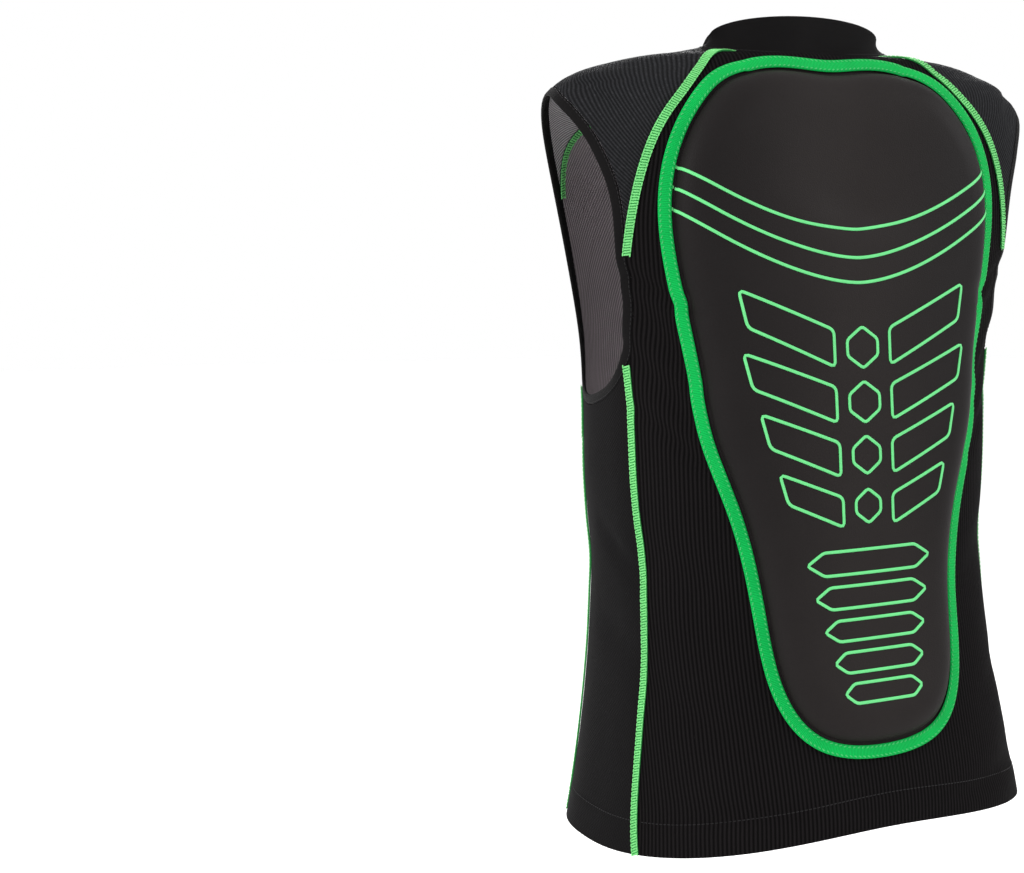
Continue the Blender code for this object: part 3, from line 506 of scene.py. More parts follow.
def add_piece(name, points, quads, finishes, uvs, which=None, nodes=(), slot=None, body="vest",
              merge=False, bevel=0.0):
    """A mesh object from arrays: faces turned outwards, UVs by corner, finishes by face."""
    points, quads, uvs = facing_out(points, quads, uvs)
    mesh = bpy.data.meshes.new(name)
    mesh.vertices.add(len(points))
    mesh.vertices.foreach_set("co", points.astype(np.float32).ravel())
    mesh.loops.add(quads.size)
    mesh.loops.foreach_set("vertex_index", quads.astype(np.int32).ravel())
    mesh.polygons.add(len(quads))
    mesh.polygons.foreach_set("loop_start", np.arange(0, quads.size, 4, dtype=np.int32))
    mesh.update(calc_edges=True)
    layer = mesh.uv_layers.new(name="cloth")
    layer.data.foreach_set("uv", uvs.astype(np.float32).ravel())
    for finish in finishes:
        mesh.materials.append(material(finish))
    if which is not None:
        mesh.polygons.foreach_set("material_index", which.astype(np.int32))
    if merge:
        edit = bmesh.new()
        edit.from_mesh(mesh)
        bmesh.ops.remove_doubles(edit, verts=edit.verts, dist=2e-6)
        bmesh.ops.dissolve_degenerate(edit, edges=edit.edges, dist=1e-7)
        edit.to_mesh(mesh)
        edit.free()
    mesh.polygons.foreach_set("use_smooth", np.ones(len(mesh.polygons), bool))
    mesh.set_sharp_from_angle(angle=np.radians(SHARP_ANGLE))
    made = bpy.data.objects.new(name, mesh)
    bpy.context.scene.collection.objects.link(made)
    if bevel:
        soft = made.modifiers.new("soft_edges", "BEVEL")
        soft.width = bevel
        soft.segments = 2
        soft.limit_method = "ANGLE"
        soft.angle_limit = np.radians(BEVEL_ANGLE)
    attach(made, body)
    if nodes:
        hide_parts(*nodes)
    return made


def shell_piece(name, outer, inner, uv, finishes, side=1, looped=False, ridged=False, **options):
    """A closed wall between two grids of points; the inner skin takes the second finish."""
    rows, columns = outer.shape[:2]
    over = np.arange(rows * columns).reshape(rows, columns)
    if looped:
        over = np.concatenate([over, over[:, :1]], 1)
    under = over + rows * columns
    quads = shell_quads(over, under, looped, ridged)
    corners = shell_quads(over, over, looped, ridged)
    points = np.concatenate([outer.reshape(-1, 3), inner.reshape(-1, 3)]) * (side, 1, 1)
    skins = skin_quads(over).shape[0]
    which = np.zeros(len(quads))
    if len(finishes) > 1:
        which[skins:2 * skins] = 1
    return add_piece(name, points, quads, finishes, uv.reshape(-1, 2)[corners], which,
                     merge=ridged, **options)


def line_frame(line, normal, looped):
    """Unit tangents of a line and the directions across it, square to its normals."""
    if looped:
        tangent = np.roll(line, -1, axis=0) - np.roll(line, 1, axis=0)
    else:
        tangent = np.gradient(line, axis=0)
    tangent /= np.linalg.norm(tangent, axis=1, keepdims=True)
    across = np.cross(normal, tangent)
    return tangent, across / np.linalg.norm(across, axis=1, keepdims=True)


def lengths_along(line):
    """Distance travelled along a line at each of its points."""
    return np.concatenate([[0], np.cumsum(np.linalg.norm(np.diff(line, axis=0), axis=1))])


def resampled(line, spacing, *others, looped=False):
    """The line, and arrays that go with it, at equal distances close to the spacing."""
    if looped:
        line = np.concatenate([line, line[:1]])
        others = [np.concatenate([other, other[:1]]) for other in others]
    at = lengths_along(line)
    count = max(int(round(at[-1] / spacing)), 2)
    wanted = np.linspace(0, at[-1], count + 1)
    if looped:
        wanted = wanted[:-1]
    result = [np.stack([np.interp(wanted, at, column) for column in rows.T], -1)
              for rows in (line, *others)]
    return result if others else result[0]


def crowned(width, height, count=9, base=0.0002):
    """A closed profile: a flat base and a low arch, as (across, up) with the arch's height."""
    turn = np.linspace(0, np.pi, count)
    arch = np.stack([-np.cos(turn) * width / 2, np.sin(turn) ** 0.7 * height], -1)
    foot = np.array([[0.46, -base], [0.0, -base], [-0.46, -base]]) * (width, 1)
    return np.concatenate([arch, foot])


def rounded_square(turn, power):
    """The x and y of the curve |x|^p + |y|^p = 1 in the directions of some angles."""
    x, y = np.cos(turn), np.sin(turn)
    reach = (np.abs(x) ** power + np.abs(y) ** power) ** (-1 / power)
    return reach * x, reach * y


def rounded_bar(width, height, count=16, power=3.0):
    """A closed profile: a rounded square stretched to a width and a height."""
    x, y = rounded_square(np.arange(count) * 2 * np.pi / count, power)
    return np.stack([-x * width / 2, y * height / 2], -1)


def loft_arrays(line, across, up, profile, looped=False):
    """Points, quads facing out and UVs of a profile carried along a line; it may differ by station.

    A point is the line's point plus the profile's two numbers times the across and up directions.
    Open ends are closed by drawing a last ring together.
    """
    stations = len(line)
    profile = np.broadcast_to(profile, (stations,) + profile.shape[-2:])
    grid = (line[:, None] + across[:, None] * profile[..., :1] + up[:, None] * profile[..., 1:])
    if not looped:
        first = np.broadcast_to(grid[:1].mean(1, keepdims=True), grid[:1].shape)
        last = np.broadcast_to(grid[-1:].mean(1, keepdims=True), grid[-1:].shape)
        grid = np.concatenate([first, grid, last])
    rows, columns = grid.shape[:2]
    index = np.arange(rows * columns).reshape(rows, columns)
    index = np.concatenate([index, index[:, :1]], 1)
    if looped:
        index = np.concatenate([index, index[:1]])
    closed = np.concatenate([line, line[:1]]) if looped else line
    along = lengths_along(closed)
    if not looped:
        along = np.concatenate([along[:1], along, along[-1:]])
    ring = np.concatenate([profile[0], profile[0, :1]])
    around = lengths_along(ring)
    u, v = np.meshgrid(along, around, indexing="ij")
    corner = np.arange(u.size).reshape(u.shape)
    uv = np.stack([u, v], -1).reshape(-1, 2)
    return facing_out(grid.reshape(-1, 3), skin_quads(index), uv[skin_quads(corner)])


def combined(*parts):
    """Several (points, quads, uvs) as one."""
    start = np.cumsum([0] + [len(part[0]) for part in parts[:-1]])
    return (np.concatenate([part[0] for part in parts]),
            np.concatenate([part[1] + first for part, first in zip(parts, start)]),
            np.concatenate([part[2] for part in parts]))


def facing_out(points, quads, uvs):
    """The same arrays with their faces turned outwards."""
    if signed_volume(points, quads) < 0:
        return points, quads[:, ::-1], uvs[:, ::-1]
    return points, quads, uvs


def bead_arrays(centres, along, across, up, length, width, height):
    """Many small rounded beads at once: one template of four rings, set at each centre.

    The rings stand at -1, -0.6, 0.6 and 1 of half the length and have 0.4, 1, 1 and 0.4 of the
    width and height; each ring has six corners.
    """
    ring = np.array([(-1, 0), (-0.6, 0.8), (0.6, 0.8), (1, 0), (0.6, -0.4), (-0.6, -0.4)], float)
    station = np.array([(-1, 0.4), (-0.6, 1), (0.6, 1), (1, 0.4)], float)
    a = np.repeat(station[:, 0], 6) * length / 2
    b = np.concatenate([ring[:, 0] * scale for scale in station[:, 1]]) * width / 2
    c = np.concatenate([ring[:, 1] * scale for scale in station[:, 1]]) * height
    points = (centres[:, None] + along[:, None] * a[:, None] + across[:, None] * b[:, None]
              + up[:, None] * c[:, None])
    index = np.arange(24).reshape(4, 6)
    index = np.concatenate([index, index[:, :1]], 1)
    caps = np.array([[0, 1, 2, 3], [0, 3, 4, 5], [21, 20, 19, 18], [23, 22, 21, 18]])
    template = np.concatenate([skin_quads(index)[:, ::-1], caps])
    quads = template[None] + np.arange(len(centres))[:, None, None] * 24
    flat = np.stack([np.broadcast_to(a, points.shape[:2]), np.broadcast_to(b, points.shape[:2])], -1)
    quads = quads.reshape(-1, 4)
    return points.reshape(-1, 3), quads, flat.reshape(-1, 2)[quads]


def stitch_arrays(line, normal, length, gap, width, height, looped=False, turn=0.0):
    """Stitches along a line, facing out: beads of a length with gaps between, turned from the line."""
    line, normal = resampled(line, length + gap, normal, looped=looped)
    tangent, across = line_frame(line, normal, looped)
    angle = np.radians(turn)
    run = tangent * np.cos(angle) + across * np.sin(angle)
    side = across * np.cos(angle) - tangent * np.sin(angle)
    return facing_out(*bead_arrays(line, run, side, normal, length, width, height))


def new_node(tree, kind, settings=None, **inputs):
    """A shader node with its settings, and its inputs set or linked; spaces in names are underscores."""
    made = tree.nodes.new(kind)
    for key, value in (settings or {}).items():
        setattr(made, key, value)
    for key, value in inputs.items():
        plug(tree, value, made.inputs[key.replace("_", " ")])
    return made


def plug(tree, value, socket):
    """Link an output to a socket, or set the socket's value."""
    if isinstance(value, bpy.types.NodeSocket):
        tree.links.new(value, socket)
    else:
        socket.default_value = value


def maths(tree, operation, *values):
    """The result of a Math node on two or three numbers or outputs."""
    made = tree.nodes.new("ShaderNodeMath")
    made.operation = operation
    for value, socket in zip(values, made.inputs):
        plug(tree, value, socket)
    return made.outputs[0]


def between(tree, value, low, high, to_low=0.0, to_high=1.0):
    """A number moved smoothly from one range to another."""
    made = new_node(tree, "ShaderNodeMapRange", {"interpolation_type": "SMOOTHSTEP"}, Value=value,
                    From_Min=low, From_Max=high, To_Min=to_low, To_Max=to_high)
    return made.outputs[0]


def mixed(tree, factor, first, second):
    """Two colours mixed by a factor."""
    made = tree.nodes.new("ShaderNodeMix")
    made.data_type = "RGBA"
    for value, index in ((factor, 0), (first, 6), (second, 7)):
        plug(tree, (*value, 1) if isinstance(value, tuple) and len(value) == 3 else value,
             made.inputs[index])
    return made.outputs[2]


def new_group(name, inputs, outputs):
    """An empty node group with its sockets, and its input and output nodes."""
    tree = bpy.data.node_groups.new(name, "ShaderNodeTree")
    for label, kind, value in inputs:
        socket = tree.interface.new_socket(name=label, in_out="INPUT", socket_type=kind)
        if value is not None:
            socket.default_value = value
    for label, kind in outputs:
        tree.interface.new_socket(name=label, in_out="OUTPUT", socket_type=kind)
    return tree, tree.nodes.new("NodeGroupInput").outputs, tree.nodes.new("NodeGroupOutput").inputs


def ribs_group():
    """Ribs: a sine across the cloth, one rib to each pitch, leaning by the slant."""
    tree, given, result = new_group(
        "ribs", [("Vector", "NodeSocketVector", None), ("Pitch", "NodeSocketFloat", 0.0034),
                 ("Slant", "NodeSocketFloat", 0.0)], [("Height", "NodeSocketFloat")])
    place = new_node(tree, "ShaderNodeSeparateXYZ", Vector=given["Vector"]).outputs
    across = maths(tree, "ADD", place["X"], maths(tree, "MULTIPLY", place["Y"], given["Slant"]))
    turn = maths(tree, "MULTIPLY", maths(tree, "DIVIDE", across, given["Pitch"]), 2 * np.pi)
    wave = maths(tree, "MULTIPLY_ADD", maths(tree, "SINE", turn), 0.5, 0.5)
    tree.links.new(wave, result["Height"])
    return tree


def diamonds_group():
    """Diamond net: the product of two slanted sines, which peaks in the middle of each hole."""
    tree, given, result = new_group(
        "diamonds", [("Vector", "NodeSocketVector", None), ("Width", "NodeSocketFloat", 0.004),
                     ("Height", "NodeSocketFloat", 0.004)],
        [("Hole", "NodeSocketFloat"), ("Thread", "NodeSocketFloat")])
    place = new_node(tree, "ShaderNodeSeparateXYZ", Vector=given["Vector"]).outputs
    x = maths(tree, "MULTIPLY", maths(tree, "DIVIDE", place["X"], given["Width"]), np.pi)
    y = maths(tree, "MULTIPLY", maths(tree, "DIVIDE", place["Y"], given["Height"]), np.pi)
    one = maths(tree, "SINE", maths(tree, "ADD", x, y))
    two = maths(tree, "SINE", maths(tree, "SUBTRACT", x, y))
    peak = maths(tree, "ABSOLUTE", maths(tree, "MULTIPLY", one, two))
    tree.links.new(between(tree, peak, 0.34, 0.62), result["Hole"])
    tree.links.new(maths(tree, "SUBTRACT", 1.0, peak), result["Thread"])
    return tree


def uneven_group():
    """Uneven dye and light wear: soft noise, given as a share to scale a colour by."""
    tree, given, result = new_group(
        "uneven", [("Vector", "NodeSocketVector", None), ("Scale", "NodeSocketFloat", 9.0),
                   ("Amount", "NodeSocketFloat", 0.2)], [("Share", "NodeSocketFloat")])
    noise = new_node(tree, "ShaderNodeTexNoise", Vector=given["Vector"], Scale=given["Scale"],
                     Detail=5.0, Roughness=0.6).outputs["Fac"]
    swing = maths(tree, "MULTIPLY", maths(tree, "SUBTRACT", noise, 0.5), given["Amount"])
    tree.links.new(maths(tree, "MULTIPLY_ADD", swing, 2.0, 1.0), result["Share"])
    return tree


def grain_group():
    """Fine grain: small even noise for a bump or a roughness."""
    tree, given, result = new_group(
        "grain", [("Vector", "NodeSocketVector", None), ("Scale", "NodeSocketFloat", 900.0)],
        [("Height", "NodeSocketFloat")])
    noise = new_node(tree, "ShaderNodeTexNoise", Vector=given["Vector"], Scale=given["Scale"],
                     Detail=3.0, Roughness=0.5).outputs["Fac"]
    tree.links.new(noise, result["Height"])
    return tree


GROUPS = {"ribs": ribs_group, "diamonds": diamonds_group, "uneven": uneven_group, "grain": grain_group}


def effect(tree, name, **inputs):
    """One of the shared groups placed in a material; the outputs of its node."""
    group = bpy.data.node_groups.get(name) or GROUPS[name]()
    made = tree.nodes.new("ShaderNodeGroup")
    made.node_tree = group
    for key, value in inputs.items():
        plug(tree, value, made.inputs[key])
    return made.outputs


class Finish:
    """A material being made: its tree, its shader and the two places its patterns are read at."""

    def __init__(self, name, colour, roughness, **constants):
        self.material = bpy.data.materials.new("vest_" + name)
        self.material.use_nodes = True
        self.material.diffuse_color = (*colour, 1)
        self.tree = self.material.node_tree
        self.shader = self.tree.nodes["Principled BSDF"]
        self.colour = tuple(colour)
        self.set(Base_Color=(*colour, 1), Roughness=roughness, **constants)
        self.cloth = new_node(self.tree, "ShaderNodeUVMap", {"uv_map": "cloth"}).outputs["UV"]
        self.place = new_node(self.tree, "ShaderNodeTexCoord").outputs["Object"]

    def set(self, **values):
        """Set or link sockets of the shader."""
        for key, value in values.items():
            plug(self.tree, value, self.shader.inputs[key.replace("_", " ")])

    def scaled(self, colour, share):
        """A colour scaled by a share."""
        return new_node(self.tree, "ShaderNodeVectorMath", {"operation": "SCALE"},
                        Vector=colour, Scale=share).outputs["Vector"]

    def uneven(self, colour, scale=9.0, amount=0.2):
        """A colour with uneven dye, linked to the shader."""
        share = effect(self.tree, "uneven", Vector=self.place, Scale=scale, Amount=amount)["Share"]
        self.set(Base_Color=self.scaled(colour, share))

    def bump(self, height, distance):
        """A height in shares of the distance, as the shader's normal."""
        bump = new_node(self.tree, "ShaderNodeBump", Strength=1.0, Distance=distance, Height=height)
        self.set(Normal=bump.outputs["Normal"])

    def grain(self, scale):
        """Fine noise, read at the object's place."""
        return effect(self.tree, "grain", Vector=self.place, Scale=scale)["Height"]

    def ribs(self, pitch, slant=0.0):
        """Ribs along the cloth."""
        return effect(self.tree, "ribs", Vector=self.cloth, Pitch=pitch, Slant=slant)["Height"]

    def diamonds(self, width, height):
        """The holes and threads of a net along the cloth."""
        return effect(self.tree, "diamonds", Vector=self.cloth, Width=width, Height=height)


def ribbed_knit(name, colour, rib_shading, roughness, pitch, slant=0.0):
    """Knit with upright ribs and fine loops across them, with painted shade: rib tops lighter, grooves
    darker.
    """
    finish = Finish(name, colour, roughness, Specular_IOR_Level=0.012)
    tree = finish.tree
    ribs = finish.ribs(pitch, slant)
    loops = finish.ribs(pitch * 0.37, 4.0)
    height = maths(tree, "MULTIPLY_ADD", loops, 0.25, maths(tree, "MULTIPLY", ribs, 0.75))
    # Painted light and shade: the colour follows the ribs' height, lighter on their tops and darker in the
    # grooves.
    share = maths(tree, "MULTIPLY_ADD", height, rib_shading, 1 - rib_shading / 2)
    finish.uneven(finish.scaled(finish.colour, share), 7.0, 0.16)
    finish.bump(maths(tree, "MULTIPLY_ADD", finish.grain(1400.0), 0.2, height), 0.0006)
    return finish.material


def shell_knit():
    """The outer face of the near-black knit."""
    return ribbed_knit("shell_knit", colours().shell, 1.50, 0.70, sizes().rib_pitch)


def shell_lining():
    """The inner face of the knit, a warm grey."""
    return ribbed_knit("shell_lining", colours().lining, 1.10, 0.75, sizes().rib_pitch * 0.8, 0.12)


def yoke_mesh():
    """Airy dark mesh: slanted ribs with painted shade between the cords, and painted glints on the front
    half.
    """
    finish = Finish("yoke_mesh", colours().yoke, 0.65, Specular_IOR_Level=0.02)
    tree = finish.tree
    net = finish.diamonds(0.0052, 0.0030)
    cords = finish.ribs(0.0031, 0.85)
    # Painted glints: light specks along the cords, full on the front half of the yoke and faint behind.
    glint_specks = between(tree, finish.grain(330.0), 0.53, 0.70)
    depth = new_node(tree, "ShaderNodeSeparateXYZ", Vector=finish.place).outputs["Y"]
    front_glint_share = between(tree, depth, -0.05, 0.02, 1.0, 0.12)
    light = maths(tree, "MULTIPLY", maths(tree, "MULTIPLY", cords, glint_specks), front_glint_share)
    # Painted shade: darker between the cords, lighter on their tops.
    dark = mixed(tree, cords, tuple(v * 0.48 for v in finish.colour),
                 tuple(v * 1.35 for v in finish.colour))
    tone = mixed(tree, maths(tree, "MULTIPLY", light, 0.70), dark, (0.115, 0.115, 0.125))
    finish.uneven(tone, 12.0, 0.22)
    finish.bump(maths(tree, "MULTIPLY_ADD", net["Thread"], 0.5, cords), 0.0006)
    return finish.material


def yoke_lining():
    """The inner face of the mesh, grey with slanted ribs."""
    return ribbed_knit("yoke_lining", (0.34, 0.325, 0.335), 1.70, 0.75, 0.0036, 0.9)


def neck_lining():
    """The pad's inner cover above the pocket, light grey with upright ribs."""
    return ribbed_knit("neck_lining", (0.31, 0.32, 0.34), 0.90, 0.70, 0.0030, 0.0)


def side_stretch():
    """Smooth black stretch cloth with rows of tiny holes."""
    finish = Finish("side_stretch", colours().side, 0.60, Specular_IOR_Level=0.015)
    tree = finish.tree
    net = finish.diamonds(0.0034, 0.0034)
    faint = maths(tree, "MULTIPLY", net["Hole"], 0.45)
    finish.uneven(mixed(tree, faint, finish.colour, (0.003, 0.003, 0.003)), 8.0, 0.18)
    finish.bump(maths(tree, "MULTIPLY_ADD", finish.grain(1200.0), 0.3, net["Thread"]), 0.00025)
    return finish.material


def collar_binding():
    """Smooth black elastic with a fine weave."""
    finish = Finish("collar_binding", colours().collar, 0.48, Specular_IOR_Level=0.035)
    weave = finish.diamonds(0.0009, 0.0009)["Thread"]
    finish.uneven(finish.colour, 15.0, 0.22)
    finish.bump(weave, 0.00022)
    return finish.material


def pad_cover():
    """Smooth dark cover with a fine leathery grain and a painted highlight, greyer down the middle."""
    finish = Finish("pad_cover", colours().pad, 0.42, Specular_IOR_Level=0.04)
    tree = finish.tree
    across = new_node(tree, "ShaderNodeSeparateXYZ", Vector=finish.place).outputs
    # Painted highlight: greyer within 0.12 m of the back's middle line, fading out towards the sides.
    middle = between(tree, maths(tree, "ABSOLUTE", across["X"]), 0.12, 0.0)
    tone = mixed(tree, middle, finish.colour, (0.0175, 0.0150, 0.0146))
    finish.uneven(tone, 14.0, 0.14)
    grain = finish.grain(1100.0)
    finish.set(Roughness=maths(tree, "MULTIPLY_ADD", grain, 0.22, 0.36))
    finish.bump(grain, 0.00022)
    return finish.material


def printed(name, colour, shade):
    """A soft print: even colour with a fine grain and a slight gloss."""
    finish = Finish(name, colour, 0.42, Specular_IOR_Level=0.12)
    finish.uneven(finish.scaled(finish.colour, shade), 60.0, 0.12)
    finish.bump(finish.grain(1500.0), 0.0001)
    return finish.material


def print_line():
    """The light green face of the raised lines."""
    return printed("print_line", colours().print_line, 1.0)


def print_edge():
    """The darker green sides of the raised lines."""
    return printed("print_edge", colours().seam_shade, 1.2)


def thread(name, colour, pitch=0.0007):
    """Twisted thread: slanted ribs round each stitch."""
    finish = Finish(name, colour, 0.50, Specular_IOR_Level=0.10)
    twist = finish.ribs(pitch, 0.8)
    share = maths(finish.tree, "MULTIPLY_ADD", twist, 0.45, 0.72)
    finish.uneven(finish.scaled(finish.colour, share), 40.0, 0.14)
    finish.bump(twist, 0.0002)
    return finish.material


def seam_thread():
    """Light green thread of the flat seams."""
    return thread("seam_thread", colours().seam)


def seam_ground():
    """Dark green ground between the threads."""
    return thread("seam_ground", colours().seam_shade, 0.0012)


def black_thread():
    """Black sewing thread."""
    return thread("black_thread", (0.020, 0.019, 0.020))


def binding_cloth(name, colour, shade):
    """Ribbed binding cloth: fine ribs across the band."""
    finish = Finish(name, colour, 0.55, Specular_IOR_Level=0.06)
    tree = finish.tree
    ribs = finish.ribs(0.0013, 0.0)
    share = maths(tree, "MULTIPLY_ADD", ribs, shade, 1 - shade / 2)
    finish.uneven(finish.scaled(finish.colour, share), 30.0, 0.2)
    finish.bump(ribs, 0.00025)
    return finish.material


def pad_binding():
    """Green binding cloth round the pad."""
    return binding_cloth("pad_binding", colours().binding, 0.45)


def binding_thread():
    """Stitches in the green binding, a shade lighter."""
    return thread("binding_thread", (0.060, 0.480, 0.140))


def label_face():
    """Soft moulded green patch."""
    finish = Finish("label_face", colours().label, 0.42, Specular_IOR_Level=0.12)
    finish.uneven(finish.colour, 50.0, 0.10)
    finish.bump(finish.diamonds(0.0011, 0.0011)["Thread"], 0.00012)
    return finish.material


def label_thread():
    """Pale stitches round the patch."""
    return thread("label_thread", (0.20, 0.62, 0.24))


def pocket_mesh():
    """Maroon air mesh with diamond holes in slanted rows."""
    finish = Finish("pocket_mesh", colours().pocket, 0.65, Specular_IOR_Level=0.03)
    tree = finish.tree
    net = finish.diamonds(0.0062, 0.0048)
    tone = mixed(tree, net["Hole"], finish.colour, (0.010, 0.005, 0.006))
    finish.uneven(tone, 25.0, 0.25)
    finish.bump(net["Thread"], 0.0009)
    return finish.material


def overlock_ground():
    """Dark green overlock tape."""
    return binding_cloth("overlock_ground", colours().overlock, 0.5)


def overlock_thread():
    """Loops of the overlock stitch."""
    return thread("overlock_thread", tuple(v * 2.4 for v in colours().overlock))


def zip_tape():
    """Woven zip tape with a herringbone of fine slanted ribs."""
    finish = Finish("zip_tape", colours().zip_tape, 0.58, Specular_IOR_Level=0.03)
    tree = finish.tree
    weave = maths(tree, "MULTIPLY", finish.ribs(0.0011, 0.7), finish.ribs(0.0011, -0.7))
    share = maths(tree, "MULTIPLY_ADD", weave, 0.9, 0.72)
    finish.uneven(finish.scaled(finish.colour, share), 30.0, 0.15)
    finish.bump(weave, 0.0003)
    return finish.material


def zip_coil():
    """Dark nylon coil."""
    finish = Finish("zip_coil", (0.024, 0.024, 0.028), 0.36, Specular_IOR_Level=0.15)
    finish.uneven(finish.colour, 80.0, 0.2)
    finish.bump(finish.grain(1800.0), 0.0001)
    return finish.material


def slider_metal():
    """Bright plated metal, rubbed duller in places."""
    finish = Finish("slider_metal", colours().metal, 0.22, Metallic=1.0)
    tree = finish.tree
    rub = finish.grain(300.0)
    finish.set(Roughness=maths(tree, "MULTIPLY_ADD", rub, 0.28, 0.10))
    finish.uneven(finish.colour, 120.0, 0.25)
    finish.bump(finish.grain(2200.0), 0.00004)
    return finish.material


def pull_rubber():
    """Dark grey moulded rubber with a satin grain."""
    finish = Finish("pull_rubber", colours().rubber, 0.45, Specular_IOR_Level=0.15)
    finish.uneven(finish.colour, 90.0, 0.16)
    finish.bump(finish.grain(1600.0), 0.00012)
    return finish.material


def floor_paint():
    """Plain pale matt floor."""
    finish = Finish("floor_paint", (0.88, 0.88, 0.88), 0.85, Specular_IOR_Level=0.15)
    finish.uneven(finish.colour, 0.8, 0.01)
    return finish.material


FINISHES = {make.__name__: make for make in (
    shell_knit, shell_lining, yoke_mesh, yoke_lining, neck_lining, side_stretch, collar_binding, pad_cover,
    print_line, print_edge, seam_thread, seam_ground, black_thread, pad_binding, binding_thread,
    label_face, label_thread, pocket_mesh, overlock_ground, overlock_thread, zip_tape, zip_coil,
    slider_metal, pull_rubber, floor_paint)}


def material(name):
    """The named finish, made on its first use."""
    return bpy.data.materials.get("vest_" + name) or FINISHES[name]()


def surface(places):
    """Points of the body surface at places (..., 2) of angle and level."""
    return body_point(places[..., 0], places[..., 1])


def outward(places):
    """Outward directions at places (..., 2)."""
    return body_normal(places[..., 0], places[..., 1])


def smooth_step(value):
    """Smooth rise from 0 to 1."""
    value = np.clip(value, 0, 1)
    return value * value * (3 - 2 * value)


def front_places():
    """Places of the centre front, the outer front and the shoulder yoke on the wearer's left."""
    high = len(PRINCESS) - 1
    princess = join(stretch(PRINCESS, 0, PRINCESS_FORK, LOW_CELLS),
                    stretch(PRINCESS, PRINCESS_FORK, high, HIGH_CELLS))
    zip_edge = zip_line(ZIP_HALF_OPENING, LOW_CELLS + HIGH_CELLS)
    hem = ring_stretch(0, zip_edge[0, 0], PRINCESS[0][0], FRONT_CELLS)
    neck = ring_stretch(COLLAR_SEAM, zip_edge[-1, 0], PRINCESS[-1][0], FRONT_CELLS)
    centre = blend_patch(hem, neck, zip_edge, princess)

    inner_start = PRINCESS_FORK + FORK_START * FORK_SHARE
    inner_edge = join(stretch(PRINCESS, inner_start, high, HIGH_CELLS),
                      ring_stretch(COLLAR_SEAM, PRINCESS[-1][0], YOKE_FRONT[-1][0], 1))
    outer_edge = join(stretch(SIDE_FRONT, FORK_START, len(SIDE_FRONT) - 1, FORK_CELLS),
                      arm_stretch(ARM_SIDE_FRONT, ARM_YOKE, ARM_FRONT_CELLS))
    yoke_front = stretch(YOKE_FRONT, 0, len(YOKE_FRONT) - 1, YOKE_CELLS)
    along = np.linspace(0, 1, YOKE_CELLS + 1)[:, None]
    fork_edge = inner_edge[0] + along * (outer_edge[0] - inner_edge[0])
    outer = blend_patch(fork_edge, yoke_front[::-1], inner_edge, outer_edge)

    arm_top = arm_stretch(ARM_YOKE, len(ARMHOLE) + ARM_RAGLAN, YOKE_ACROSS)
    raglan = stretch(RAGLAN, 0, len(RAGLAN) - 1, YOKE_CELLS)
    neck_top = ring_stretch(COLLAR_SEAM, YOKE_FRONT[-1][0], RAGLAN[-1][0], YOKE_ACROSS)
    yoke = blend_patch(arm_top, neck_top, yoke_front, raglan)
    return centre, outer, yoke


def side_places():
    """Places of the panel under the wearer's left arm."""
    front = join(stretch(PRINCESS, 0, PRINCESS_FORK, LOW_CELLS),
                 stretch(SIDE_FRONT, 0, len(SIDE_FRONT) - 1, FORK_CELLS))
    back = stretch(SIDE_BACK, 0, len(SIDE_BACK) - 1, LOW_CELLS + FORK_CELLS)
    hem = ring_stretch(0, PRINCESS[0][0], SIDE_BACK[0][0], SIDE_CELLS)
    arm = arm_stretch(ARM_SIDE_FRONT, ARM_SIDE_BACK, SIDE_CELLS)
    return blend_patch(hem, arm, front, back)


# The hem's turned-up height, and how far and how softly it stands out
HEM_TURN = 0.026
HEM_STEP = 0.0005
HEM_EDGE = 0.0015


def hem_lift(uv, normal):
    """The turned-up hem: a small step outwards, smooth over HEM_EDGE, below the hem's turn."""
    turned = smooth_step((HEM_TURN - uv[..., 1]) / HEM_EDGE) * HEM_STEP
    return normal * turned[..., None]


def cloth_panel(name, places, finishes, side, centre, slot):
    """A cloth panel of one side: its patch of the body, its thickness and its turned-up hem."""
    uv = cloth_lengths(places, centre)
    normal = outward(places)
    outer = pull_in(surface(places), sizes().seam_gap / 2)
    inner = outer - normal * sizes().cloth
    outer += hem_lift(uv, normal)
    return shell_piece(name, outer, inner, uv, finishes, side, nodes=(name,), slot=slot)


def back_places():
    """Places of the back shell, from its outer edge in to the pad's window."""
    outer = shell_outer_loop()
    window = outline_facing(PAD_OUTLINE, outer)
    share = np.linspace(0, 1, SHELL_RINGS + 1)[:, None, None]
    return outer[None] * (1 - share) + window[None] * share


def edge_distance(places):
    """Distance from places on the back to the pad's outline, by the nearest of its dense points."""
    points = surface(places).reshape(-1, 3)
    edge = surface(half_outline(PAD_OUTLINE, DENSE_STATIONS))
    square = (points ** 2).sum(1)[:, None] + (edge ** 2).sum(1)[None] - 2 * points @ edge.T
    return np.sqrt(np.maximum(square.min(1), 0)).reshape(places.shape[:-1])


def pad_point(places):
    """The pad's face: the body surface with the pad's rise over it."""
    return lifted(places, dome_height(edge_distance(places)))


def pad_normal(places):
    """Outward direction of the pad's face: the cross product of small steps along it."""
    across, up = np.array([0.25, 0.0]), np.array([0.0, 0.012])
    normal = np.cross(pad_point(places + across) - pad_point(places - across),
                      pad_point(places + up) - pad_point(places - up))
    return normal / np.linalg.norm(normal, axis=-1, keepdims=True)


